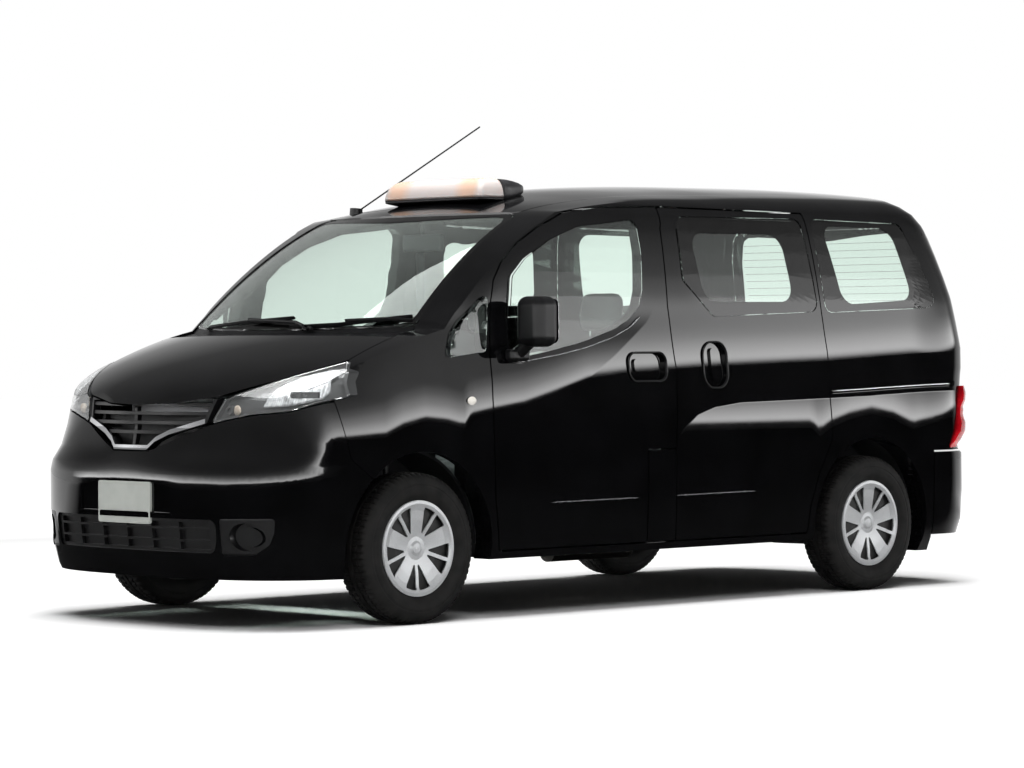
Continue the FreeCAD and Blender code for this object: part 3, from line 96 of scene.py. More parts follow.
# Material helpers
class Graph:
    """Short ways to add and join nodes in a node tree."""

    def __init__(self, tree):
        self.tree = tree

    def add(self, kind, **values):
        node = self.tree.nodes.new(kind)
        for key, value in values.items():
            if key in node.inputs:
                node.inputs[key].default_value = value
            else:
                setattr(node, key, value)
        return node

    def join(self, socket, value):
        if isinstance(value, bpy.types.NodeSocket):
            self.tree.links.new(value, socket)
        else:
            socket.default_value = value

    def math(self, operation, a, b=0.0):
        node = self.add("ShaderNodeMath", operation=operation)
        self.join(node.inputs[0], a)
        self.join(node.inputs[1], b)
        return node.outputs[0]

    def vector(self, operation, a, b=(0.0, 0.0, 0.0)):
        node = self.add("ShaderNodeVectorMath", operation=operation)
        self.join(node.inputs[0], a)
        self.join(node.inputs[1], b)
        return node.outputs["Value"] if operation in ("DOT_PRODUCT", "LENGTH") else node.outputs[0]

    def part(self, vector, name):
        split = self.add("ShaderNodeSeparateXYZ")
        self.join(split.inputs[0], vector)
        return split.outputs[name]

    def span(self, value, low, high):
        """0 where the value is low, 1 where it is high."""
        node = self.add("ShaderNodeMapRange")
        node.inputs["From Min"].default_value = low
        node.inputs["From Max"].default_value = high
        self.join(node.inputs["Value"], value)
        return node.outputs["Result"]

    def ramp(self, value, stops):
        """Colour or grey over a value, from pairs of place and colour."""
        node = self.add("ShaderNodeValToRGB")
        elements = node.color_ramp.elements
        while len(elements) < len(stops):
            elements.new(0.5)
        for element, (at, color) in zip(elements, stops):
            element.position = at
            element.color = (*color, 1.0) if hasattr(color, "__len__") else (color, color, color, 1.0)
        self.join(node.inputs["Fac"], value)
        return node.outputs["Color"]

    def blend(self, factor, a, b):
        """a where factor is 0 and b where it is 1."""
        return self.math("ADD", self.math("MULTIPLY", a, self.math("SUBTRACT", 1.0, factor)),
                         self.math("MULTIPLY", b, factor))

    def flat_part(self, vector):
        return self.vector("MULTIPLY", vector, (1.0, 1.0, 0.0))

    def backness(self, vector):
        """1 towards the white backdrop behind the cab, 0 on the camera's side."""
        flat = self.flat_part(vector)
        along = self.math("DIVIDE", self.vector("DOT_PRODUCT", flat, BEHIND), self.vector("LENGTH", flat))
        return self.span(along, *BACK_EDGE)

    def seen_straight(self):
        """1 for rays that come from the camera, also through glass."""
        path = self.add("ShaderNodeLightPath")
        return self.math("MAXIMUM", path.outputs["Is Camera Ray"], path.outputs["Is Transmission Ray"])


class Shader(Graph):
    """A node material built around one Principled shader."""

    def __init__(self, name, color, roughness, **sockets):
        self.material = bpy.data.materials.new(name)
        self.material.use_nodes = True
        super().__init__(self.material.node_tree)
        self.main = self.tree.nodes["Principled BSDF"]
        self.set("Base Color", (*color, 1.0))
        self.set("Roughness", roughness)
        for key, value in sockets.items():
            self.set(key.replace("_", " "), value)

    def set(self, socket, value):
        self.join(self.main.inputs[socket], value)

    def place(self):
        """Position in the object's own space, in metres."""
        return self.add("ShaderNodeTexCoord").outputs["Object"]

    def noise(self, scale, detail=3.0, stretch=None):
        node = self.add("ShaderNodeTexNoise", Scale=scale, Detail=detail)
        place = self.place()
        if stretch:
            mapping = self.add("ShaderNodeMapping", Scale=stretch)
            self.join(mapping.inputs["Vector"], place)
            place = mapping.outputs["Vector"]
        self.join(node.inputs["Vector"], place)
        return node.outputs["Fac"]

    def waves(self, scale, distortion=0.0, direction="X"):
        node = self.add("ShaderNodeTexWave", Scale=scale, Distortion=distortion, bands_direction=direction)
        self.join(node.inputs["Vector"], self.place())
        return node.outputs["Fac"]

    def vary_color(self, source, low, high):
        self.set("Base Color", self.ramp(source, [(0.35, low), (0.65, high)]))

    def vary_roughness(self, source, low, high):
        node = self.add("ShaderNodeMapRange")
        node.inputs["To Min"].default_value = low
        node.inputs["To Max"].default_value = high
        self.join(node.inputs["Value"], source)
        self.set("Roughness", node.outputs["Result"])

    def bump(self, source, strength, distance):
        node = self.add("ShaderNodeBump", Strength=strength, Distance=distance)
        self.join(node.inputs["Height"], source)
        self.set("Normal", node.outputs["Normal"])


def paint_material():
    """Deep black gloss with faint orange peel and a trace of dust."""
    s = Shader("black_paint", (0.0035, 0.0035, 0.004), 0.04, IOR=1.47)
    s.vary_color(s.noise(6.0), (0.0016, 0.0016, 0.0018), (0.0028, 0.0028, 0.0032))
    s.vary_roughness(s.noise(9.0, 5.0), 0.03, 0.07)
    s.bump(s.noise(260.0, 1.0), 0.02, 0.0002)
    return s.material


def glass_material(name, color):
    """Thin clear glass that lets the lamps through."""
    s = Shader(name, color, 0.0, IOR=1.5, Transmission_Weight=1.0)
    s.vary_roughness(s.noise(3.0), 0.0, 0.004)
    clear = s.add("ShaderNodeBsdfTransparent", Color=(*color, 1.0))
    mix = s.add("ShaderNodeMixShader")
    s.join(mix.inputs[0], s.add("ShaderNodeLightPath").outputs["Is Shadow Ray"])
    s.join(mix.inputs[1], s.main.outputs["BSDF"])
    s.join(mix.inputs[2], clear.outputs["BSDF"])
    s.join(s.tree.nodes["Material Output"].inputs["Surface"], mix.outputs["Shader"])
    return s.material


def plastic_material(name, color, roughness, grain=900.0, depth=0.00015, spread=0.25):
    s = Shader(name, color, roughness, IOR=1.48)
    dark = tuple(c * (1 - spread) for c in color)
    light = tuple(c * (1 + spread) for c in color)
    s.vary_color(s.noise(14.0, 4.0), dark, light)
    s.vary_roughness(s.noise(30.0), max(0.02, roughness - 0.06), roughness + 0.06)
    s.bump(s.noise(grain, 2.0), 0.35, depth)
    return s.material


def metal_material(name, color, roughness, grain=40.0, stretch=(1, 1, 12)):
    s = Shader(name, color, roughness, Metallic=1.0)
    s.vary_roughness(s.noise(grain, 3.0, stretch), max(0.02, roughness - 0.05), roughness + 0.07)
    s.bump(s.noise(grain * 4, 2.0, stretch), 0.05, 0.0003)
    return s.material


def wheel_material():
    """Silver paint with fine flake."""
    s = Shader("silver_wheel", (0.46, 0.47, 0.48), 0.32, Metallic=0.35, IOR=1.48)
    s.vary_color(s.noise(300.0, 3.0), (0.42, 0.43, 0.44), (0.50, 0.51, 0.52))
    s.vary_roughness(s.noise(60.0), 0.26, 0.38)
    s.bump(s.noise(700.0, 2.0), 0.1, 0.00005)
    return s.material


def reflector_material():
    """Bright moulded reflector with upright flutes."""
    s = Shader("lamp_bright", (0.62, 0.63, 0.65), 0.22, Metallic=0.4, IOR=1.5)
    s.vary_color(s.noise(45.0, 3.0), (0.22, 0.225, 0.23), (0.60, 0.61, 0.62))
    s.bump(s.waves(42.0, 0.6), 0.5, 0.0015)
    return s.material


def cloth_material(name, color):
    """Woven seat cloth."""
    s = Shader(name, color, 0.85, Sheen_Weight=0.25, Sheen_Roughness=0.5)
    s.vary_color(s.noise(60.0, 4.0), tuple(c * 0.75 for c in color), tuple(c * 1.3 for c in color))
    s.bump(s.waves(160.0, 1.5), 0.4, 0.0008)
    return s.material


def rubber_material():
    s = Shader("tyre_rubber", (0.012, 0.012, 0.012), 0.72, IOR=1.5, Specular_IOR_Level=0.3)
    s.vary_color(s.noise(18.0, 4.0), (0.004, 0.004, 0.004), (0.010, 0.0095, 0.009))
    s.vary_roughness(s.noise(25.0), 0.62, 0.82)
    s.bump(s.noise(400.0, 2.0), 0.3, 0.0003)
    return s.material


def sign_material():
    """Milky shell of the roof sign, with a warm patch near each end."""
    s = Shader("sign_lens", (0.80, 0.72, 0.68), 0.18, IOR=1.49, Subsurface_Weight=0.25,
               Subsurface_Radius=(0.02, 0.012, 0.010))
    white, peach = (0.62, 0.56, 0.54), (0.68, 0.47, 0.36)
    off_middle = s.span(s.math("ABSOLUTE", s.part(s.place(), "X")), 0.0, 0.31)
    s.set("Base Color", s.ramp(off_middle, [(0.42, white), (0.62, peach), (0.82, peach), (0.93, white)]))
    s.bump(s.noise(60.0), 0.03, 0.0005)
    return s.material


def red_lens_material():
    s = Shader("red_lens", (0.42, 0.008, 0.012), 0.06, IOR=1.5)
    s.vary_color(s.noise(20.0), (0.42, 0.004, 0.010), (0.62, 0.010, 0.018))
    s.bump(s.waves(30.0, direction="Z"), 0.25, 0.001)
    return s.material


# Colour and roughness, then grain, depth and spread where they differ
PLASTICS = {
    "sign_base": ((0.022, 0.022, 0.024), 0.35),
    "black_plastic": ((0.0045, 0.0045, 0.005), 0.36),
    "dark_trim": ((0.045, 0.047, 0.05), 0.6),
    "chassis_black": ((0.012, 0.012, 0.013), 0.55, 300.0),
    "tank_plastic": ((0.02, 0.02, 0.02), 0.5),
    "frit": ((0.004, 0.004, 0.004), 0.10, 60.0, 0.00002),
    "plate": ((0.42, 0.44, 0.41), 0.35, 200.0, 0.0001, 0.05),
    # near-black for what lies behind the wheel covers' windows: dark steel, and painted shade
    "dark_steel_and_painted_shade": ((0.006, 0.006, 0.006), 0.5),
    "lamp_dark": ((0.030, 0.031, 0.032), 0.3, 500.0, 0.0004),
    "bulb": ((0.42, 0.36, 0.30), 0.15, 200.0, 0.0003, 0.15),
    "marker": ((0.75, 0.72, 0.66), 0.12, 120.0, 0.0002, 0.05),
}
# Colour and roughness, then grain and stretch where they differ
METALS = {
    "lamp_reflector": ((0.80, 0.81, 0.82), 0.12, 20.0, (1, 1, 1)),
    "chrome_trim": ((0.80, 0.81, 0.83), 0.10),
    "engine_metal": ((0.35, 0.35, 0.36), 0.5),
    "exhaust_steel": ((0.35, 0.34, 0.32), 0.4),
    "moulding": ((0.16, 0.16, 0.17), 0.25),
}
MATERIALS = {
    "black_paint": paint_material(),
    "clear_glass": glass_material("clear_glass", (0.86, 0.95, 0.90)),
    "lamp_lens": glass_material("lamp_lens", (0.97, 0.98, 0.98)),
    "red_lens": red_lens_material(),
    "tyre_rubber": rubber_material(),
    "silver_wheel": wheel_material(),
    "sign_lens": sign_material(),
    "seat_cloth": cloth_material("seat_cloth", (0.10, 0.105, 0.11)),
    "lamp_bright": reflector_material(),
    **{name: plastic_material(name, *look) for name, look in PLASTICS.items()},
    **{name: metal_material(name, *look) for name, look in METALS.items()},
}


def dress_nodes():
    """Every carried-over node gets its slot's material."""
    for name, thing in NODES.items():
        thing.data.materials.clear()
        thing.data.materials.append(MATERIALS[SLOT_OF[name]])


# Stage
FLOOR_RADIUS = 60.0
FLOOR_NEAR = 5.5
FLOOR_FAR = 7.5
FLOOR_PALE = 0.92
FLOOR_DARK = 0.02
BACK_EDGE = (0.25, 0.45)
LOW_LIGHT = [(0.0, 0.02), (0.516, 0.02), (0.521, 9.0), (0.550, 4.2), (0.576, 1.9), (0.597, 0.9),
             (0.621, 0.6), (0.67, 0.3), (0.75, 0.2), (1.0, 0.2)]
BACK_LIGHT = [(0.0, 1.0), (0.54, 1.0), (0.61, 0.40), (0.72, 0.14), (1.0, 0.14)]
PLAIN_LIGHT = 0.10


def add_floor():
    """Pale floor that keeps the cab's shadow and runs into the white backdrop."""
    work = bmesh.new()
    bmesh.ops.create_circle(work, cap_ends=True, segments=96, radius=FLOOR_RADIUS)
    floor = add_object("floor", mesh_from(work, "floor"))
    s = Shader("floor", (0.9, 0.9, 0.9), 0.9, Specular_IOR_Level=0.0, Emission_Color=(1.0, 1.0, 1.0, 1.0))
    place = s.place()
    far = s.span(s.vector("LENGTH", s.flat_part(place)), FLOOR_NEAR, FLOOR_FAR)
    back = s.backness(place)
    glossy = s.add("ShaderNodeLightPath").outputs["Is Glossy Ray"]
    dark = s.math("MULTIPLY", s.math("MAXIMUM", far, glossy), s.math("SUBTRACT", 1.0, back))
    s.set("Base Color", s.blend(dark, FLOOR_PALE, FLOOR_DARK))
    s.set("Emission Strength", s.math("MULTIPLY", far, s.math("MAXIMUM", s.seen_straight(), back)))
    floor.data.materials.append(s.material)


def add_world():
    """Studio surround: white behind the cab, and on the camera's side dark with one low strip of light."""
    world = bpy.data.worlds.new("studio")
    bpy.context.scene.world = world
    world.use_nodes = True
    graph = Graph(world.node_tree)
    way = graph.add("ShaderNodeTexCoord").outputs["Generated"]
    height = graph.span(graph.part(way, "Z"), -1.0, 1.0)
    peak = max(value for at, value in LOW_LIGHT)
    near = graph.math("MULTIPLY", graph.ramp(height, [(at, value / peak) for at, value in LOW_LIGHT]), peak)
    studio = graph.blend(graph.backness(way), near, graph.ramp(height, BACK_LIGHT))
    glossy = graph.add("ShaderNodeLightPath").outputs["Is Glossy Ray"]
    light = graph.blend(graph.seen_straight(), graph.blend(glossy, PLAIN_LIGHT, studio), 1.0)
    graph.join(world.node_tree.nodes["Background"].inputs["Color"], light)


def add_softbox(name, place, target, width, height, power):
    """Area lamp that lights surfaces and stays out of their reflections."""
    data = bpy.data.lights.new(name, "AREA")
    data.shape = "RECTANGLE"
    data.size = width
    data.size_y = height
    data.energy = power
    lamp = add_object(name, data)
    lamp.location = place
    lamp.visible_glossy = False
    aim = Vector(target) - Vector(place)
    lamp.rotation_euler = aim.to_track_quat("-Z", "Y").to_euler()


# Name, place, target, width, height and power
LAMPS = (("overhead", (0.0, 0.0, 7.0), (0.0, 0.0, 0.0), 6.0, 8.0, 1150.0),
         ("side_fill", (6.0, -5.0, 6.0), (0.0, 0.0, 0.7), 4.0, 3.0, 260.0))


def add_lights():
    for lamp in LAMPS:
        add_softbox(*lamp)


def set_view():
    bpy.context.scene.view_settings.view_transform = "Standard"


# Pieces
def new_piece(name, mesh, body, slot, material=None, replaces=()):
    piece = add_object(name, mesh)
    mesh.materials.clear()
    mesh.materials.append(MATERIALS[material or slot])
    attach(piece, body)
    if replaces:
        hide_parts(*replaces)
    return piece


def mesh_of(name, points, faces, smooth=True):
    mesh = bpy.data.meshes.new(name)
    mesh.from_pydata([tuple(p) for p in points], [], faces)
    work = bmesh.new()
    work.from_mesh(mesh)
    bmesh.ops.recalc_face_normals(work, faces=work.faces)
    for face in work.faces:
        face.smooth = smooth
    work.to_mesh(mesh)
    work.free()
    return mesh


def add_shape(name, shape, body, slot, material=None, replaces=(), smooth=True):
    """Piece from points and faces."""
    return new_piece(name, mesh_of(name, *shape, smooth=smooth), body, slot, material, replaces)


def grid(rows, close_rows=False, close_columns=False):
    """Points and faces over a list of equally long rows of points."""
    points = [p for row in rows for p in row]
    wide = len(rows[0])
    faces = []
    for i in range(len(rows) if close_rows else len(rows) - 1):
        for j in range(wide if close_columns else wide - 1):
            a, b = i * wide + j, i * wide + (j + 1) % wide
            c, d = (i + 1) % len(rows) * wide + (j + 1) % wide, (i + 1) % len(rows) * wide + j
            faces.append((a, b, c, d))
    return points, faces


def capped(rows):
    """Points and faces over closed rows of points, with the first and last row filled."""
    points, faces = grid(rows, close_columns=True)
    wide = len(rows[0])
    return points, [*faces, tuple(range(wide)), tuple(range(len(points) - wide, len(points)))]


def dome(centre, across, up, out, rings, count):
    """Points and faces of a dome over a filled base ring, from its three half axes."""
    rows = []
    for i in range(rings):
        rise = math.pi / 2 * i / (rings - 1)
        rows.append([])
        for t in range(count):
            turn = 2 * math.pi * t / count
            ring = across * math.cos(turn) + up * math.sin(turn)
            rows[-1].append(centre + ring * math.cos(rise) + out * math.sin(rise))
    points, faces = grid(rows, close_columns=True)
    return points, [*faces, tuple(range(count))]


def apply_modifiers(piece):
    graph = bpy.context.evaluated_depsgraph_get()
    mesh = bpy.data.meshes.new_from_object(piece.evaluated_get(graph))
    piece.modifiers.clear()
    old = piece.data
    piece.data = mesh
    bpy.data.meshes.remove(old)


def thicken(piece, thickness):
    piece.modifiers.new("thick", "SOLIDIFY").thickness = thickness
    apply_modifiers(piece)


def tree_of(*names):
    points, faces = [], []
    for name in names:
        mesh = NODES[name].data
        start = len(points)
        points += [v.co.copy() for v in mesh.vertices]
        faces += [tuple(start + i for i in p.vertices) for p in mesh.polygons]
    return BVHTree.FromPolygons(points, faces)


# Painted skin
PAINTED = [name for name in NODES if SLOT_OF[name] == "black_paint"]
GRID_STEP = 0.03
KERNEL = 0.075
SKIN_CLEAR = 0.35
SKIN_LIFT = 0.002
EDGE_HALF = 0.0036
# Pressed lines of the sides, as pairs of length and height, and of height and length for the surround
BELT_EDGE = [(-2.3, 0.72), (-1.561, 0.741), (-1.469, 0.778), (-1.354, 0.802), (-1.237, 0.791),
             (-1.143, 0.768), (-1.105, 0.815), (-0.988, 0.834), (-0.806, 0.859), (-0.632, 0.904),
             (-0.434, 0.960), (-0.204, 0.981), (0.099, 0.994), (0.278, 1.003), (1.064, 1.024),
             (1.943, 1.067), (2.3, 1.08)]
SURROUND_EDGE = [(0.90, -0.46), (0.960, -0.434), (1.005, -0.355), (1.056, -0.267), (1.115, -0.178),
                 (1.187, -0.074), (1.243, -0.019), (1.308, -0.002), (1.372, 0.004), (1.6, 0.006)]
DENT_LOW = [(0.10, 0.715), (0.138, 0.736), (0.942, 0.734), (1.000, 0.695), (1.072, 0.732), (1.204, 0.768),
            (1.353, 0.789), (1.502, 0.763), (1.639, 0.712), (1.886, 0.766), (2.3, 0.78)]
DENT_HIGH = [(0.10, 0.716), (0.139, 0.754), (0.220, 0.803), (0.328, 0.832), (0.493, 0.849), (1.059, 0.860),
             (1.873, 0.885), (2.3, 0.89)]
TILT_FADE = (1.14, 1.26)
TILT_STEPS = 140
TILT_TOP = 1.34
TILT_BOTTOM = 0.60


def on_line(line, at):
    return np.interp(at, [p[0] for p in line], [p[1] for p in line])


def smooth_step(value):
    value = np.clip(value, 0.0, 1.0)
    return value * value * (3.0 - 2.0 * value)


SIDE_LEAN = 0.15
EDGE_LEAN = 1.2
EDGE_BLUR = 0.007
SURROUND_BLUR = 0.012
DENT_START = 0.105


def side_tilt(y, z):
    """How far the side leans, in degrees: belt, window surround and the dent over the rear wheels."""
    above = z - on_line(BELT_EDGE, y)
    gentle = EDGE_LEAN + 21.0 * above
    steep = np.minimum(EDGE_LEAN + 46.0 * above, 8.5)
    forward = smooth_step((on_line(SURROUND_EDGE, z) - y) / SURROUND_BLUR + 0.5)
    belt = (gentle + (steep - gentle) * forward) * smooth_step(above / EDGE_BLUR + 0.5)
    over, under = z - on_line(DENT_LOW, y), on_line(DENT_HIGH, y) - z
    edges = smooth_step(over / EDGE_BLUR + 0.5) * smooth_step(under / EDGE_BLUR + 0.5)
    dent = (EDGE_LEAN + 34.0 * over) * edges * smooth_step((y - DENT_START) / SURROUND_BLUR)
    return SIDE_LEAN + belt + dent


# How far the solids' side leans at each height, in degrees
PLAIN_LEAN = [(0.60, 0.1), (0.80, 0.4), (0.90, 1.6), (1.0, 4.6), (1.095, 4.2), (1.2, 4.4), (1.34, 6.0)]
HEIGHTS = np.linspace(TILT_BOTTOM, TILT_TOP, TILT_STEPS)
LENGTHS = np.linspace(-2.25, 2.25, 301)


def side_shift():
    """Inward shift of the side over length and height that gives the tilts, beside the plain one."""
    y, z = np.meshgrid(LENGTHS, HEIGHTS, indexing="ij")
    plain = on_line(PLAIN_LEAN, z)
    keep = 1.0 - smooth_step((z - TILT_FADE[0]) / (TILT_FADE[1] - TILT_FADE[0]))
    wanted = np.tan(np.radians(side_tilt(y, z))) - np.tan(np.radians(plain))
    return np.cumsum(wanted * keep, axis=1) * (HEIGHTS[1] - HEIGHTS[0])


SHIFT = side_shift()


def at_grid(table, y, z):
    i = np.clip((y - LENGTHS[0]) / (LENGTHS[1] - LENGTHS[0]), 0, len(LENGTHS) - 1.001)
    j = np.clip((z - HEIGHTS[0]) / (HEIGHTS[1] - HEIGHTS[0]), 0, len(HEIGHTS) - 1.001)
    a, b = int(i), int(j)
    u, v = i - a, j - b
    return ((table[a, b] * (1 - u) + table[a + 1, b] * u) * (1 - v)
            + (table[a, b + 1] * (1 - u) + table[a + 1, b + 1] * u) * v)


CORNER_PUSH = 0.074
CORNER_AT = (0.745, 1.945)
CORNER_WIDE = 0.27
CORNER_WAY = (0.69, 0.72)
CORNER_LIFT = [(0.62, 0.0), (0.70, 0.45), (0.85, 0.62), (0.96, 0.75), (1.08, 1.0), (1.31, 0.9), (1.45, 0.65),
               (1.59, 0.37), (1.72, 0.0)]


def outward(point, distance):
    """The place moved out over its own rear corner."""
    return point + Vector((math.copysign(CORNER_WAY[0], point.x), CORNER_WAY[1], 0.0)) * distance


def squarer(point):
    """The place with the rear corners of the body filled out a little."""
    away = math.hypot(abs(point.x) - CORNER_AT[0], point.y - CORNER_AT[1]) / CORNER_WIDE
    if away >= 1.0 or not CORNER_LIFT[0][0] < point.z < CORNER_LIFT[-1][0]:
        return point
    return outward(point, CORNER_PUSH * (1.0 - away * away) ** 2 * float(on_line(CORNER_LIFT, point.z)))


def cut(work, faces, place, way):
    """Cut faces by the plane through a place, square to a way."""
    edges = {e for f in faces for e in f.edges}
    corners = {v for f in faces for v in f.verts}
    bmesh.ops.bisect_plane(work, geom=[*faces, *edges, *corners], dist=CUT_REACH, plane_co=place,
                           plane_no=way)


CUT_REACH = 1e-6
MERGE_REACH = 1e-5
STEEP = 0.9
ONE_SIDE_WIDTH = 0.9


def sliced(name):
    """The node's mesh cut into a fine grid, and a piece of one side along the pressed lines too."""
    work = bmesh.new()
    work.from_mesh(NODES[name].data)
    bmesh.ops.remove_doubles(work, verts=work.verts, dist=MERGE_REACH)
    low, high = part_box(name)
    for axis in range(3):
        way = Vector((axis == 0, axis == 1, axis == 2))
        for step in range(math.ceil(low[axis] / GRID_STEP), math.floor(high[axis] / GRID_STEP) + 1):
            faces = [f for f in work.faces if abs(f.normal[axis]) < STEEP]
            cut(work, faces, way * (step * GRID_STEP), way)
    if high[0] - low[0] < ONE_SIDE_WIDTH:
        for line in (BELT_EDGE, DENT_LOW, DENT_HIGH, [(y, z) for z, y in SURROUND_EDGE]):
            cut_along(work, line, low[1], high[1])
    for vertex in work.verts:
        vertex.co = squarer(vertex.co)
    work.normal_update()
    return work


def cut_along(work, line, near, far):
    """Cut the side just below and just above a pressed line, so its edge runs clean."""
    for (y0, z0), (y1, z1) in zip(line, line[1:]):
        if max(y0, y1) < near or min(y0, y1) > far:
            continue
        across = Vector((0.0, z0 - z1, y1 - y0)).normalized()
        for off in (-EDGE_HALF, EDGE_HALF):
            faces = [f for f in work.faces if abs(f.normal.x) > 0.7 and in_span(f, y0, y1, z0, z1)]
            cut(work, faces, Vector((0.0, y0, z0)) + across * off, across)


def in_span(face, y0, y1, z0, z1):
    centre = face.calc_center_median()
    return (min(y0, y1) - GRID_STEP < centre.y < max(y0, y1) + GRID_STEP
            and min(z0, z1) - GRID_STEP < centre.z < max(z0, z1) + GRID_STEP)


def is_outer(face, surround):
    """Whether a face looks out from the body and has nothing close before it."""
    centre = face.calc_center_median()
    spine = Vector((0.0, max(SPINE_ENDS[0], min(SPINE_ENDS[1], centre.y)), SPINE_HEIGHT))
    if face.normal.dot((centre - spine).normalized()) < OUTER_LEAST:
        return False
    return surround.ray_cast(centre + face.normal * SKIN_LIFT, face.normal, SKIN_CLEAR)[0] is None


SPINE_ENDS = (-1.5, 1.7)
SPINE_HEIGHT = 0.9
OUTER_LEAST = 0.25
MATCH_LEAST = 0.6
NORMAL_STEPS = 2.5
SIDE_FROM = 0.62
SIDE_TOP = 1.6


def flowing(point, own, samples, places):
    """The skin's mean normal round a point, taken from faces that look much the same way."""
    total = Vector((0.0, 0.0, 0.0))
    for place, i, distance in places.find_range(point, KERNEL):
        normal, area = samples[i][1:]
        match = normal.dot(own)
        if match > MATCH_LEAST:
            total += normal * (area * (1.0 - (distance / KERNEL) ** 2) ** 2 * match ** 3)
    return total.normalized() if total.length > 0 else own


def corner_normals(work, outer, samples, places):
    """A normal for every corner of every face: flowing on the skin, the face's own elsewhere."""
    known = {}
    normals = []
    for face, skin in zip(work.faces, outer):
        for corner in face.loops:
            vertex, normal = corner.vert, face.normal.copy()
            if skin:
                key = (vertex.index, *(round(c * NORMAL_STEPS) for c in normal))
                if key not in known:
                    known[key] = pressed(vertex.co, flowing(vertex.co, normal, samples, places))
                normal = known[key]
            normals.append(normal)
    return normals


def press_in(vertex):
    """Move a vertex of the side in by the depth of the pressed lines."""
    side = abs(vertex.co.x)
    if side > SIDE_FROM and TILT_BOTTOM < vertex.co.z < SIDE_TOP:
        shift = at_grid(SHIFT, vertex.co.y, min(vertex.co.z, TILT_TOP)) * near_side(side)
        vertex.co.x -= math.copysign(shift, vertex.co.x)


def skin_pieces():
    """Painted nodes again, with one smooth flow of normals and the pressed lines of the sides."""
    surround = tree_of(*[n for n in NODES if SLOT_OF[n] in ("black_paint", "black_plastic", "chrome_trim")])
    works = {name: sliced(name) for name in PAINTED}
    outer = {name: [is_outer(face, surround) for face in work.faces] for name, work in works.items()}
    samples = [(f.calc_center_median(), f.normal.copy(), f.calc_area())
               for name, work in works.items() for f, skin in zip(work.faces, outer[name]) if skin]
    places = KDTree(len(samples))
    for i, (place, normal, area) in enumerate(samples):
        places.insert(place, i)
    places.balance()
    for name, work in works.items():
        work.faces.index_update()
        work.verts.ensure_lookup_table()
        normals = corner_normals(work, outer[name], samples, places)
        for vertex in work.verts:
            press_in(vertex)
        for face in work.faces:
            face.smooth = True
        mesh = mesh_from(work, name + "_skin")
        mesh.normals_split_custom_set(normals)
        new_piece(name + "_skin", mesh, BODY_OF[name], "black_paint", replaces=[name])


def rear_pieces():
    """Rear panes and lamps again, carried along with the fuller corner."""
    for name in ("side_glass", "tailgate_glass", "tail_lamps"):
        work = sliced(name)
        if name == "tail_lamps":
            for vertex in work.verts:
                vertex.co = outward(vertex.co, float(on_line(LAMP_LOBES, vertex.co.z)))
        mesh = mesh_from(work, name + "_fitted")
        mesh.polygons.foreach_set("use_smooth", [True] * len(mesh.polygons))
        mesh.set_sharp_from_angle(angle=math.radians(40))
        new_piece(name + "_fitted", mesh, BODY_OF[name], SLOT_OF[name], replaces=[name])


LAMP_LOBES = [(0.63, 0.004), (0.66, 0.020), (0.70, 0.030), (0.74, 0.030), (0.775, 0.016), (0.79, 0.020),
              (0.81, 0.016), (0.84, 0.026), (0.88, 0.026), (0.915, 0.014), (0.94, 0.004)]


def near_side(x):
    return float(smooth_step((x - 0.70) / 0.08))


def pressed(point, normal):
    """The normal with the side's own tilt, where the skin is a side."""
    share = float(smooth_step((abs(normal.x) - 0.80) / 0.15)) * near_side(abs(point.x))
    share *= 1.0 - float(smooth_step((point.z - TILT_FADE[0]) / (TILT_FADE[1] - TILT_FADE[0])))
    share *= float(smooth_step((point.z - TILT_BOTTOM) / 0.05))
    if share <= 0.0:
        return normal
    tilt = math.radians(float(side_tilt(point.y, point.z)))
    flat = Vector((normal.x, normal.y, 0.0)).normalized()
    aim = flat * math.cos(tilt) + Vector((0.0, 0.0, math.sin(tilt)))
    return (normal * (1.0 - share) + aim * share).normalized()


# Tyres
TREAD_COUNT = 72
TYRE_ROUND = TREAD_COUNT * 4


# Wall: distance in from the side, radius, and how deep the tread's cuts go there
TYRE_WALL = ((0.026, 0.186, 0), (0.018, 0.190, 0), (0.012, 0.196, 0), (0.006, 0.210, 0), (0.0035, 0.214, 0),
             (0.0015, 0.225, 0), (0.0005, 0.238, 0), (0.0, 0.246, 0), (0.0012, 0.248, 0), (0.0012, 0.252, 0),
             (0.0, 0.254, 0), (0.002, 0.266, 0), (0.006, 0.277, 0), (0.012, 0.286, 0.2))
# Shoulder: distance in from the side, drop from the crown, and the cuts
TYRE_SHOULDER = ((0.018, 0.006, 1), (0.026, 0.003, 1))
# Tread with its two grooves: distance off the middle, drop from the crown, and the cuts
TYRE_TREAD = ((0.0475, 0.0015, 1), (0.0470, 0.008, 0), (0.0405, 0.008, 0), (0.0400, 0.0008, 1),
              (0.0185, 0.0003, 1), (0.0180, 0.008, 0), (0.0110, 0.008, 0), (0.0105, 0.0, 0), (0.0, 0.0, 0))
CUT_DEEP = 0.006


def tyre_profile(half, radius):
    """Half of the section from the bead to the middle: distance off centre, radius and share of the cuts."""
    wall = [(half - x, r, cut) for x, r, cut in TYRE_WALL]
    shoulder = [(half - x, radius - drop, cut) for x, drop, cut in TYRE_SHOULDER]
    return wall + shoulder + [(x, radius - drop, cut) for x, drop, cut in TYRE_TREAD]


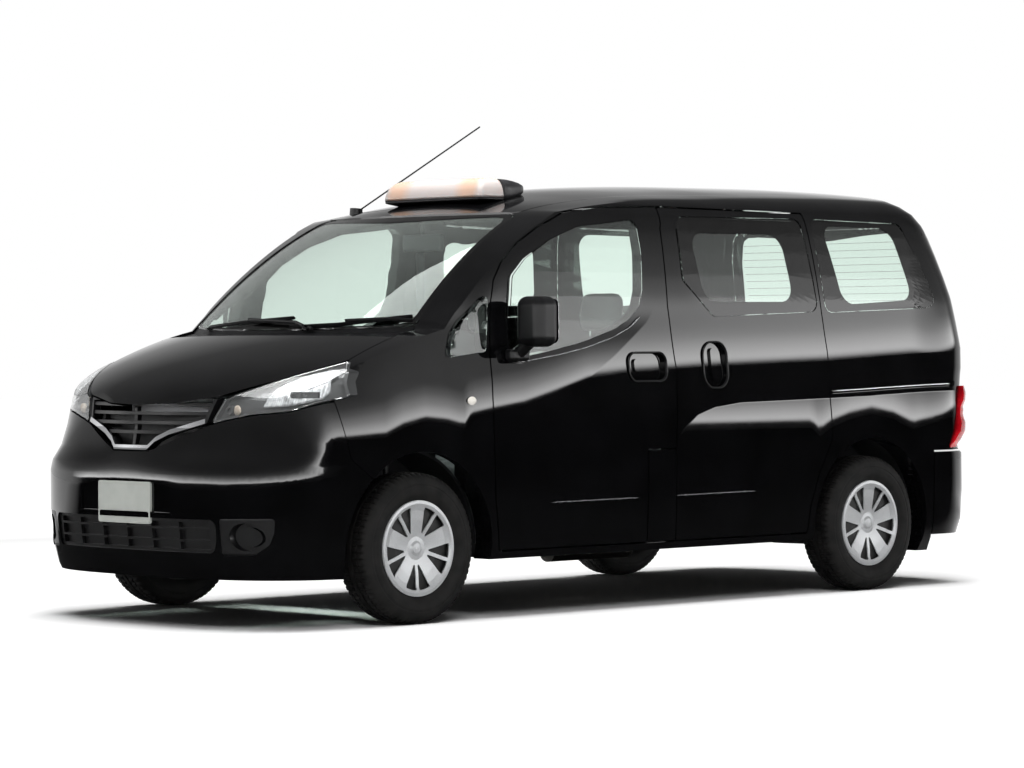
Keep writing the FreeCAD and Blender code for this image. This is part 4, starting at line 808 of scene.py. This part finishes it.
def add_tyre(node):
    low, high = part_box(node)
    centre = [(a + b) / 2 for a, b in zip(low, high)]
    profile = tyre_profile((high[0] - low[0]) / 2, (high[2] - low[2]) / 2)
    whole = profile + [(-x, r, cut) for x, r, cut in reversed(profile[:-1])]
    rows = []
    for i in range(TYRE_ROUND):
        angle = 2 * math.pi * i / TYRE_ROUND
        row = []
        for x, radius, cut in whole:
            r = radius - (CUT_DEEP * cut if i % 4 == (1 if x > 0 else 3) else 0.0)
            row.append((centre[0] + x, centre[1] + r * math.cos(angle), centre[2] + r * math.sin(angle)))
        rows.append(row)
    mesh = mesh_of(node + "_tread", *grid(rows, close_rows=True, close_columns=True))
    mesh.set_sharp_from_angle(angle=math.radians(35))
    new_piece(node + "_tread", mesh, BODY_OF[node], "tyre_rubber", replaces=[node])


# Depth of the cover's outer face over radius; faces behind it get painted shade
COVER_FACE = [(0.0, 0.063), (0.020, 0.062), (0.046, 0.056), (0.062, 0.0575), (0.112, 0.063), (0.150, 0.065),
              (0.168, 0.070), (0.178, 0.072), (0.20, 0.066)]


def add_wheel(node):
    """The wheel again, with what lies behind the windows of its cover near-black: dark steel, darkened
    further as painted shade.
    """
    low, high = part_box(node.replace("rim", "tyre"))
    centre = [(a + b) / 2 for a, b in zip(low, high)]
    side = math.copysign(1.0, centre[0])
    mesh = NODES[node].data.copy()
    mesh.name = node + "_cover"
    painted_shade_flags = []
    for face in mesh.polygons:
        x, y, z = face.center
        ring = math.hypot(y - centre[1], z - centre[2])
        painted_shade_flags.append(0 if (x - centre[0]) * side > on_line(COVER_FACE, ring) else 1)
    piece = new_piece(node + "_cover", mesh, BODY_OF[node], "silver_wheel", replaces=[node])
    # second slot: dark steel and painted shade for the faces behind the cover's face
    mesh.materials.append(MATERIALS["dark_steel_and_painted_shade"])
    mesh.polygons.foreach_set("material_index", painted_shade_flags)
    bevel = piece.modifiers.new("edges", "BEVEL")
    bevel.width = 0.0012
    bevel.segments = 2
    bevel.limit_method = "ANGLE"
    bevel.angle_limit = math.radians(50)
    apply_modifiers(piece)


# Strips and rings laid on the sides
SIDE_START = 1.3
END_START = 3.0
STRIP_SINK = 0.001
STRIP_STEP = 0.02
SIDE_TREES = {}


def from_side(sign):
    def cast(tree, y, z):
        return tree.ray_cast(Vector((sign * SIDE_START, y, z)), Vector((-sign, 0.0, 0.0)))[0]
    return cast


def from_front(tree, x, z):
    return tree.ray_cast(Vector((x, -END_START, z)), Vector((0.0, 1.0, 0.0)))[0]


def from_rear(tree, x, z):
    return tree.ray_cast(Vector((x, END_START, z)), Vector((0.0, -1.0, 0.0)))[0]


def side_x(y, z, sign, names):
    """How far out the named pieces' surface is on one side."""
    if names not in SIDE_TREES:
        SIDE_TREES[names] = tree_of(*names)
    hit = from_side(sign)(SIDE_TREES[names], y, z)
    return None if hit is None else hit.x


def spread(line):
    """Points along a line at even steps."""
    out = []
    for (y0, z0), (y1, z1) in zip(line, line[1:]):
        count = max(1, round(math.hypot(y1 - y0, z1 - z0) / STRIP_STEP))
        out += [(y0 + (y1 - y0) * i / count, z0 + (z1 - z0) * i / count) for i in range(count)]
    return out + [line[-1]]


def add_strip(name, line, height, proud, body, slot, names, sign, material=None):
    """Crowned strip along a line on one side."""
    section = ((-0.5, -STRIP_SINK), (-0.5, proud * 0.5), (-0.3, proud), (0.3, proud), (0.5, proud * 0.5),
               (0.5, -STRIP_SINK))
    rows = []
    path = [p for p in spread(line) if side_x(*p, sign, names) is not None]
    for i, (y, z) in enumerate(path):
        x = side_x(y, z, sign, names)
        before, after = path[max(0, i - 1)], path[min(len(path) - 1, i + 1)]
        length = math.hypot(after[0] - before[0], after[1] - before[1]) or 1.0
        across = (-(after[1] - before[1]) / length, (after[0] - before[0]) / length)
        taper = min(1.0, (min(i, len(path) - 1 - i) + 0.4) / 2.0)
        rows.append([squarer(Vector((x + sign * out * taper, y + across[0] * offset * height * taper,
                                     z + across[1] * offset * height * taper))) for offset, out in section])
    add_shape(name, capped(rows), body, slot, material)


# Window borders
def in_rounded(point, corners, radius):
    """Whether a point lies in a convex outline with rounded corners."""
    centre = Vector((sum(c[0] for c in corners), sum(c[1] for c in corners))) / len(corners)
    worst = []
    for (ax, ay), (bx, by) in zip(corners, corners[1:] + corners[:1]):
        edge = Vector((bx - ax, by - ay)).normalized()
        normal = Vector((edge.y, -edge.x))
        if normal.dot(centre - Vector((ax, ay))) > 0:
            normal = -normal
        worst.append(normal.dot(Vector(point) - Vector((ax, ay))) + radius)
    over = sorted(worst, reverse=True)[:2]
    return math.hypot(max(over[0], 0.0), max(over[1], 0.0)) < radius if over[0] > 0 else True


def reach(inside, centre, angle):
    """How far from the centre the inside goes on at this angle."""
    def holds(r):
        return inside(centre[0] + r * math.cos(angle), centre[1] + r * math.sin(angle))

    high = REACH_STEP
    while high < REACH_MOST and holds(high):
        high += REACH_STEP
    low = high - REACH_STEP
    for _ in range(8):
        middle = (low + high) / 2
        if holds(middle):
            low = middle
        else:
            high = middle
    return low


def add_border(name, node, cast, centre, body, lift, clear=None, width=None):
    """Dark baked border on a pane, from its edge in to the clear part or by a width at each angle."""
    tree = tree_of(node)
    rings = []
    for i in range(BORDER_COUNT):
        angle = 2 * math.pi * i / BORDER_COUNT
        outer = reach(lambda a, b: cast(tree, a, b) is not None, centre, angle) - BORDER_INSET
        if clear:
            inner = reach(lambda a, b: in_rounded((a, b), *clear), centre, angle)
        else:
            inner = outer - width(angle)
        ring = []
        for share in (0.0, 0.25, 0.5, 0.75, 1.0):
            r = outer + (inner - outer) * share
            hit = cast(tree, centre[0] + r * math.cos(angle), centre[1] + r * math.sin(angle))
            if hit is None:
                hit = ring[-1] if ring else Vector((0.0, 0.0, 0.0))
            ring.append(hit + lift)
        ring += [p - lift * 0.7 for p in reversed(ring)]
        rings.append([squarer(p) for p in ring])
    shape = grid(rings, close_rows=True, close_columns=True)
    add_shape(name, shape, body, "black_plastic", "frit", smooth=False)


REACH_STEP = 0.02
REACH_MOST = 1.6
SLIDER_CLEAR = ([(0.241, 1.575), (0.816, 1.578), (0.866, 1.285), (0.294, 1.281)], 0.075)
REAR_CLEAR = ([(1.104, 1.623), (1.570, 1.620), (1.679, 1.299), (1.198, 1.274)], 0.07)
BORDER_COUNT = 128
BORDER_INSET = 0.002
BORDER_LIFT = 0.0008
SCREEN_BORDER = 0.022
GATE_BORDER = 0.05


def add_borders():
    for side, sign in SIDES:
        out = Vector((sign * BORDER_LIFT, 0.0, 0.0))
        for name, centre, clear in (("slider_frit_", (0.55, 1.43), SLIDER_CLEAR),
                                    ("rear_frit_", (1.39, 1.45), REAR_CLEAR)):
            add_border(name + side, "side_glass", from_side(sign), centre, "body", out, clear)
    add_border("screen_frit", "windscreen", from_front, (0.0, 1.36), "body",
               Vector((0.0, -BORDER_LIFT, BORDER_LIFT)),
               width=lambda a: SCREEN_BORDER * (1.0 + max(0.0, -math.sin(a)) ** 2))
    add_border("gate_frit", "tailgate_glass", from_rear, (0.0, 1.40), "tailgate",
               Vector((0.0, BORDER_LIFT, 0.0)), width=lambda a: GATE_BORDER)


# Seats
def soft_block(name, size, centre, lean, radius=0.05):
    """Rounded block ready to be puffed up, leaned back about X."""
    work = bmesh.new()
    bmesh.ops.create_cube(work, size=1.0)
    for vertex in work.verts:
        vertex.co = Vector([c * s for c, s in zip(vertex.co, size)])
    bmesh.ops.bevel(work, geom=[*work.edges, *work.verts], offset=radius, segments=3, profile=0.6,
                    affect="EDGES")
    bmesh.ops.rotate(work, verts=work.verts, cent=(0, 0, 0), matrix=Matrix.Rotation(lean, 3, "X"))
    bmesh.ops.translate(work, verts=work.verts, vec=centre)
    return mesh_from(work, name)


PUFF_FRAMES = 14
PUFF_CAP = 0.014
PUFF_VOXEL = 0.014
PUFF_PRESSURE = 4.0


def add_cushion(name, size, centre, lean, node):
    """Cushion from a block: remesh, blow up with cloth, cap how far it moves, smooth."""
    piece = new_piece(name, soft_block(name, size, centre, lean), "body", "seat_cloth", replaces=[node])
    remesh = piece.modifiers.new("voxels", "REMESH")
    remesh.mode = "VOXEL"
    remesh.voxel_size = PUFF_VOXEL
    apply_modifiers(piece)
    start = [v.co.copy() for v in piece.data.vertices]
    cloth = piece.modifiers.new("cloth", "CLOTH")
    cloth.settings.use_pressure = True
    cloth.settings.uniform_pressure_force = PUFF_PRESSURE
    cloth.settings.effector_weights.gravity = 0.0
    cloth.settings.quality = 4
    for step in range(1, PUFF_FRAMES + 1):
        bpy.context.scene.frame_set(step)
    apply_modifiers(piece)
    bpy.context.scene.frame_set(1)
    for vertex, old in zip(piece.data.vertices, start):
        move = vertex.co - old
        if move.length > PUFF_CAP:
            vertex.co = old + move.normalized() * PUFF_CAP
    piece.data.polygons.foreach_set("use_smooth", [True] * len(piece.data.polygons))


SEAT_X = 0.355
FRONT_SEAT_Y = -0.26
REAR_SEAT_Y = 0.62
SEAT_LEAN = -0.29
SEAT_BASE = 0.30


def add_base(name, size, centre, node):
    new_piece(name, soft_block(name, size, centre, 0.0, radius=0.02), "body", "dark_trim", replaces=[node])


def add_posts(name, x, y, low, high, half):
    """Two steel posts under a headrest."""
    circle = [Vector((math.cos(a), math.sin(a), 0.0)) * POST_RADIUS for a in np.arange(12) * math.pi / 6]
    points, faces = [], []
    for sign in (-1, 1):
        rows = []
        for share in (0.0, 1.0):
            centre = Vector((x + sign * half, y + 0.015 * share, low + (high - low) * share))
            rows.append([centre + p for p in circle])
        more, quads = grid(rows, close_columns=True)
        faces += [tuple(len(points) + i for i in quad) for quad in quads]
        points += more
    add_shape(name, (points, faces), "body", "dark_trim", "chrome_trim")


POST_RADIUS = 0.006
ROLL_WIDE = 0.085


def add_front_seat(name, x, y, width):
    """Seat cushion with two side rolls, the leaning back with two wings, and the headrest."""
    node = "front_seats"
    middle = width - 2 * ROLL_WIDE
    add_base(name + "_base", (0.37, 0.36, 0.17), (x, y - 0.01, SEAT_BASE + 0.09), node)
    add_cushion(name + "_pad", (middle + 0.01, 0.46, 0.105), (x, y - 0.015, 0.545), 0.03, node)
    add_cushion(name + "_back", (middle, 0.085, 0.50), (x, y + 0.292, 0.855), SEAT_LEAN, node)
    for side, sign in reversed(SIDES):
        edge = x + sign * (width / 2 - ROLL_WIDE / 2 - 0.008)
        add_cushion(name + "_roll_" + side, (ROLL_WIDE, 0.45, 0.12), (edge, y - 0.015, 0.545), 0.03, node)
        add_cushion(name + "_wing_" + side, (ROLL_WIDE, 0.10, 0.48), (edge, y + 0.286, 0.845), SEAT_LEAN,
                    node)
    add_cushion(name + "_head", (0.235, 0.075, 0.165), (x, y + 0.39, 1.24), -0.08, node)
    add_posts(name + "_posts", x, y + 0.372, 1.09, 1.17, 0.06)


def add_seats():
    for side, sign in reversed(SIDES):
        add_front_seat("front_seat_" + side, sign * SEAT_X, FRONT_SEAT_Y, 0.49)
    node, y = "rear_seat", REAR_SEAT_Y
    add_base("rear_seat_base", (0.98, 0.32, 0.17), (0.0, y + 0.015, SEAT_BASE + 0.09), node)
    for side, sign in reversed(SIDES):
        name, x, head_x = "rear_seat_" + side, sign * 0.30, sign * 0.33
        add_cushion(name + "_pad", (0.585, 0.43, 0.115), (x, y - 0.005, 0.54), 0.03, node)
        add_cushion(name + "_back", (0.585, 0.085, 0.46), (x, y + 0.27, 0.83), SEAT_LEAN, node)
        add_cushion(name + "_head", (0.215, 0.07, 0.13), (head_x, y + 0.352, 1.168), -0.08, node)
        add_posts(name + "_posts", head_x, y + 0.34, 1.04, 1.11, 0.05)


BELT_HALF = 0.023
BELT_THICK = 0.0015


def add_belt(name, x, y, top, low, lean):
    """Flat belt that hangs along the door post."""
    section = ((-BELT_HALF, 0.0), (BELT_HALF, 0.0), (BELT_HALF, BELT_THICK), (-BELT_HALF, BELT_THICK))
    rows = []
    for i in range(25):
        share = i / 24
        wave = 0.006 * math.sin(share * 5.0)
        rows.append([(x + lean * share + b, y + a + wave, top + (low - top) * share) for a, b in section])
    add_shape(name, capped(rows), "body", "seat_cloth", smooth=False)


# Plates, markers and trims
def rounded_outline(half_x, half_z, radius, steps=6):
    points = []
    for cx, cz, start in ((1, 1, 0), (-1, 1, 90), (-1, -1, 180), (1, -1, 270)):
        for i in range(steps + 1):
            angle = math.radians(start + 90 * i / steps)
            points.append((cx * (half_x - radius) + radius * math.cos(angle),
                           cz * (half_z - radius) + radius * math.sin(angle)))
    return points


def add_plaque(name, centre, half, radius, layers, facing, body, slot, material):
    """Flat piece with rounded corners, in layers of inset and height."""
    rows = [[(centre[0] + x, centre[1] + facing * out, centre[2] + z)
             for x, z in rounded_outline(half[0] - inset, half[1] - inset, radius)] for inset, out in layers]
    add_shape(name, capped(rows), body, slot, material, smooth=False)


PLATE_HALF = (0.165, 0.0825)
PLATE_STAND = 0.010
PLATE_THICK = 0.0015
PLATE_RIM = 0.0012
MIRROR_FACE = (0.062, 0.088)


def add_plate(name, centre, thick, facing, body):
    """Blank pressed plate with a raised rim."""
    rim = thick + PLATE_RIM
    layers = ((0.0, 0.0), (0.0, thick), (0.004, rim), (0.007, rim), (0.009, thick))
    add_plaque(name, centre, PLATE_HALF, 0.012, layers, facing, body, "black_paint", "plate")


TRIM_LINE = [(-0.845, 1.028), (-0.600, 1.060), (-0.444, 1.088), (-0.285, 1.130), (-0.180, 1.172),
             (-0.105, 1.222)]
MOULDING_LOW = 0.458
MOULDING = (0.009, 0.004)
MARKER_AT = (-1.101, 0.878)
MARKER_SIZE = (0.009, 0.024, 0.017)
MARKER_SINK = 0.001


def add_side_trims():
    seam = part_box("sliding_door_left")[0][1]
    low = MOULDING_LOW
    door_line = [(-0.655, low), (-0.147, low + 0.003)]
    slider_line = [(seam + 0.008, low + 0.005), (0.576, low + 0.009)]
    depth, wide, tall = MARKER_SIZE
    for side, sign in SIDES:
        door, slider = "front_door_" + side, "sliding_door_" + side
        rear, fender = "body_side_" + side, "fender_" + side
        panels = (door, rear, slider)
        add_strip("door_moulding_" + side, door_line, *MOULDING, door, "dark_trim", panels, sign, "moulding")
        add_strip("slider_moulding_" + side, slider_line, *MOULDING, "body", "dark_trim", panels, sign,
                  "moulding")
        add_strip("rail_cover_" + side, [(1.105, 0.8915), (1.880, 0.9175)], 0.010, 0.004, "body",
                  "chrome_trim", (rear,), sign)
        add_strip("window_line_" + side, TRIM_LINE, 0.004, 0.003, door, "chrome_trim", (door,), sign)
        centre = Vector((side_x(*MARKER_AT, sign, (fender,)) - sign * MARKER_SINK, *MARKER_AT))
        lens = dome(centre, Vector((0.0, wide, 0.0)), Vector((0.0, 0.0, tall)),
                    Vector((sign * depth, 0.0, 0.0)), 6, 24)
        add_shape("marker_" + side, lens, "body", "lamp_lens", "marker")
        add_belt("belt_" + side, sign * 0.700, 0.035, 1.52, 0.75, sign * 0.03)


HEATER_COUNT = 11
HEATER_LOW = 1.235
HEATER_GAP = 0.034
HEATER_WIDE = 0.50
HEATER_HALF = 0.0007
HEATER_DEEP = 0.0056


def add_heater():
    """Heating lines on the inside of the rear window."""
    tree = tree_of("tailgate_glass")
    points, faces = [], []
    for line in range(HEATER_COUNT):
        z = HEATER_LOW + line * HEATER_GAP
        last = None
        for x in np.linspace(-HEATER_WIDE, HEATER_WIDE, 41):
            hits = [from_rear(tree, x, z + d) for d in (-HEATER_HALF, HEATER_HALF)]
            if None in hits:
                last = None
                continue
            points += [squarer(h - Vector((0.0, HEATER_DEEP, 0.0))) for h in hits]
            if last is not None:
                faces.append((last, last + 1, len(points) - 1, len(points) - 2))
            last = len(points) - 2
    piece = add_shape("heater_lines", (points, faces), "tailgate", "black_plastic", "frit", smooth=False)
    thicken(piece, 0.0004)


MIRROR_IN = 0.075
MIRROR_UP = 1.196
MIRROR_LAYERS = ((0.0, -0.002), (0.0, 0.0), (0.003, 0.001))


def add_mirror_glass():
    for side, sign in SIDES:
        low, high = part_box("door_mirror_" + side)
        centre = ((high[0] if sign > 0 else low[0]) - sign * MIRROR_IN, high[1] + 0.0006, MIRROR_UP)
        add_plaque("mirror_glass_" + side, centre, MIRROR_FACE, 0.022, MIRROR_LAYERS, 1,
                   "front_door_" + side, "chrome_trim", "lamp_reflector")


# Head lamps
REFLECTOR_LOW = [(0.602, 0.862), (0.650, 0.864), (0.698, 0.868), (0.740, 0.880), (0.776, 0.893),
                 (0.786, 0.920)]
REFLECTOR_HIGH = [(0.618, 0.932), (0.640, 0.958), (0.672, 0.980), (0.708, 0.996), (0.742, 1.008),
                  (0.776, 0.996)]
GAP_LOW = [(0.690, 0.898), (0.768, 0.898)]
GAP_HIGH = [(0.680, 0.922), (0.764, 0.922)]
BULB_AT = (0.494, 0.852)
BULB_RADIUS = 0.021
BULB_DEEP = 0.014
BULB_HIGH = 0.009
LAMP_WAY = (0.35, 0.90, -0.25)


def behind_lens(tree, x, z, depth):
    place = from_front(tree, x, z)
    return None if place is None else place + Vector((-math.copysign(LAMP_WAY[0], x), *LAMP_WAY[1:])) * depth


def along(line, share):
    """The place a share of the way through a list of points, counted by its points."""
    at = share * (len(line) - 1)
    return [float(np.interp(at, range(len(line)), [p[k] for p in line])) for k in (0, 1)]


def add_insert(name, tree, low, high, sign, depth, material):
    """Moulded sheet behind the lamp's lens, between two lines."""
    rows = []
    for i in range(17):
        (x0, z0), (x1, z1) = along(low, i / 16), along(high, i / 16)
        row = []
        for j in range(11):
            x, z = x0 + (x1 - x0) * j / 10, z0 + (z1 - z0) * j / 10
            place = behind_lens(tree, sign * x, z, depth)
            row.append(place if place is not None else row[-1] if row else rows[-1][j])
        rows.append(row)
    thicken(add_shape(name, grid(rows), "body", "lamp_reflector", material), 0.0008)


def add_lamps():
    NODES["headlamp_housings"].data.materials[0] = MATERIALS["lamp_dark"]
    tree = tree_of("headlamps")
    for side, sign in SIDES:
        add_insert("reflector_" + side, tree, REFLECTOR_LOW, REFLECTOR_HIGH, sign, 0.0065, "lamp_bright")
        add_insert("lamp_gap_" + side, tree, GAP_LOW, GAP_HIGH, sign, 0.0056, "lamp_dark")
        seat = behind_lens(tree, sign * BULB_AT[0], BULB_AT[1], BULB_DEEP)
        bulb = dome(seat, Vector((BULB_RADIUS, 0.0, 0.0)), Vector((0.0, 0.0, BULB_RADIUS)),
                    Vector((0.0, -BULB_HIGH, 0.0)), 7, 28)
        add_shape("bulb_" + side, bulb, "body", "lamp_reflector", "bulb")


# Roof sign
SIGN_HALF = 0.306
SIGN_FRONT = -0.540
SIGN_REAR = -0.392
SIGN_LOW = 1.724
SIGN_TOP = 1.8065


def sign_ring(half, front, rear, z, radius):
    middle, deep = (front + rear) / 2, (rear - front) / 2
    return [(x, middle + y, z) for x, y in rounded_outline(half, deep, min(radius, deep * 0.98), 5)]


TRAY_LAYERS = ((1.688, 0.075), (1.700, 0.040), (1.709, 0.010), (1.713, 0.001), (1.7235, 0.000),
               (1.7235, 0.006))
FOOT_HEIGHTS = (1.660, 1.695)
COWL_SECTIONS = ((-0.3915, 0.296, 1.700, 1.8035), (-0.388, 0.299, 1.700, 1.8045),
                 (-0.350, 0.294, 1.702, 1.8035), (-0.310, 0.285, 1.712, 1.7990),
                 (-0.270, 0.272, 1.728, 1.7920), (-0.238, 0.254, 1.744, 1.7840),
                 (-0.220, 0.236, 1.756, 1.7770), (-0.216, 0.226, 1.762, 1.7720))


def add_sign():
    """Lit shell with rounded ends on a low dark tray and its foot, and the tapered cowl behind."""
    shell = []
    for i in range(14):
        height = math.sin(i / 13 * math.pi / 2)
        turn = 1.0 - math.cos(i / 13 * math.pi / 2)
        shell.append(sign_ring(SIGN_HALF - 0.046 * turn, SIGN_FRONT + 0.060 * turn, SIGN_REAR,
                               SIGN_LOW + (SIGN_TOP - SIGN_LOW) * height, 0.020 + 0.02 * turn))
    shell.append(sign_ring(SIGN_HALF - 0.136, SIGN_FRONT + 0.096, SIGN_REAR - 0.012, SIGN_TOP + 0.0009, 0.04))
    add_shape("sign_shell", capped(shell), "body", "sign_lens", replaces=["roof_sign_lens"])
    tray = [sign_ring(SIGN_HALF - inset, SIGN_FRONT + inset, SIGN_REAR, z, 0.022) for z, inset in TRAY_LAYERS]
    add_shape("sign_tray", capped(tray), "body", "sign_base", "black_plastic", replaces=["roof_sign_base"])
    cowl = []
    for y, half, low, top in COWL_SECTIONS:
        middle, tall = (low + top) / 2, (top - low) / 2
        cowl.append([(x, y, middle + z) for x, z in rounded_outline(half, tall, tall * 0.75, 5)])
    add_shape("sign_cowl", capped(cowl), "body", "sign_base")
    foot = [sign_ring(SIGN_HALF - 0.10, SIGN_FRONT + 0.05, SIGN_REAR + 0.10, z, 0.03) for z in FOOT_HEIGHTS]
    add_shape("sign_foot", capped(foot), "body", "sign_base", "black_plastic", smooth=False)


BEZEL_WIDE = 0.007
BEZEL_PROUD = 0.003
BEZEL_SECTION = ((BEZEL_WIDE, -0.001), (BEZEL_WIDE, 0.001), (BEZEL_WIDE * 0.7, BEZEL_PROUD),
                 (BEZEL_WIDE * 0.3, BEZEL_PROUD), (0.0, 0.001), (-0.001, -0.007))


def add_bezel(name, node, body, sign, centre, half, radius):
    """Raised ring round a door handle's recess."""
    rows = []
    for out, lift in BEZEL_SECTION:
        stretch = (half[0] + BEZEL_WIDE + 0.004) / (half[0] + out)
        row = []
        for y, z in rounded_outline(half[0] + out, half[1] + out, radius + out, 8):
            skin = side_x(centre[0] + y * stretch, centre[1] + z * stretch, sign, (node,))
            row.append((skin + sign * lift, centre[0] + y, centre[1] + z))
        rows.append(row)
    add_shape(name, grid(rows, close_columns=True), body, "black_plastic")


# Wipers
WIPER_LINES = [("wiper_right", [(-0.50, 1.172), (-0.20, 1.190), (0.12, 1.208)],
                [(0.27, 1.156), (0.16, 1.184), (-0.15, 1.196)]),
               ("wiper_left", [(0.14, 1.170), (0.38, 1.180), (0.655, 1.212)],
                [(0.705, 1.186), (0.58, 1.196), (0.40, 1.188)])]


BAR_STEPS = 28
BAR_SEEK = 0.004


def screen_point(tree, x, z):
    """Where the screen or cowl lies and faces, looked for from this height upwards."""
    for rise in range(12):
        start = Vector((x, -END_START, z + rise * BAR_SEEK))
        place, normal = tree.ray_cast(start, Vector((0.0, 1.0, 0.0)))[:2]
        if place is not None:
            return place, normal
    return None


def add_bar(name, tree, line, half, low, high):
    """Bar that follows the screen along a line given over width and height."""
    found = [screen_point(tree, *along(line, i / (BAR_STEPS - 1))) for i in range(BAR_STEPS)]
    places = [p for p in found if p]
    last = len(places) - 1
    rows = []
    for i, (place, normal) in enumerate(places):
        ahead = (places[min(i + 1, last)][0] - places[max(i - 1, 0)][0]).normalized()
        side = ahead.cross(normal).normalized() * half * (0.6 if i in (0, last) else 1.0)
        shoulder = low * 0.4 + high * 0.6
        rows.append([place + normal * rise + side * share for rise, share in (
            (low, -1.0), (low, 1.0), (shoulder, 0.7), (high, 0.25), (high, -0.25), (shoulder, -0.7))])
    add_shape(name, capped(rows), "body", "black_plastic", replaces=["wipers"], smooth=False)


def add_wipers():
    tree = tree_of("windscreen", "cowl")
    for name, blade, arm in WIPER_LINES:
        add_bar(name + "_blade", tree, blade, 0.007, 0.002, 0.016)
        add_bar(name + "_arm", tree, arm, 0.008, 0.012, 0.024)


MOUNTS = {mount["name"]: mount for mount in RECORD["mounts"]}
PLATE_CLEAR = 0.0005


def add_plates():
    front = MOUNTS["front_plate_holes"]["pos_m"][1] - PLATE_CLEAR
    rear = MOUNTS["rear_plate_holes"]["pos_m"][1] + PLATE_CLEAR
    add_plate("front_plate", (0.0, front, 0.4865), PLATE_STAND, -1, "body")
    add_plate("rear_plate", (0.0, rear, 0.760), PLATE_THICK, 1, "tailgate")


HANDLE_RING = ((-0.080, 1.007), (0.110, 0.057), 0.040)
SLIDER_RING = ((0.336, 1.013), (0.072, 0.095), 0.058)

add_camera()
set_view()
add_world()
add_lights()
add_floor()
dress_nodes()
skin_pieces()
rear_pieces()
for node in list(NODES):
    if node.startswith("tyre_"):
        add_tyre(node)
    if node.startswith("rim_"):
        add_wheel(node)
add_borders()
add_seats()
add_side_trims()
add_heater()
add_mirror_glass()
add_plates()
add_lamps()
add_wipers()
add_sign()
for side, sign in SIDES:
    add_bezel("handle_ring_" + side, "front_door_" + side, "front_door_" + side, sign, *HANDLE_RING)
    add_bezel("slider_ring_" + side, "sliding_door_" + side, "body", sign, *SLIDER_RING)
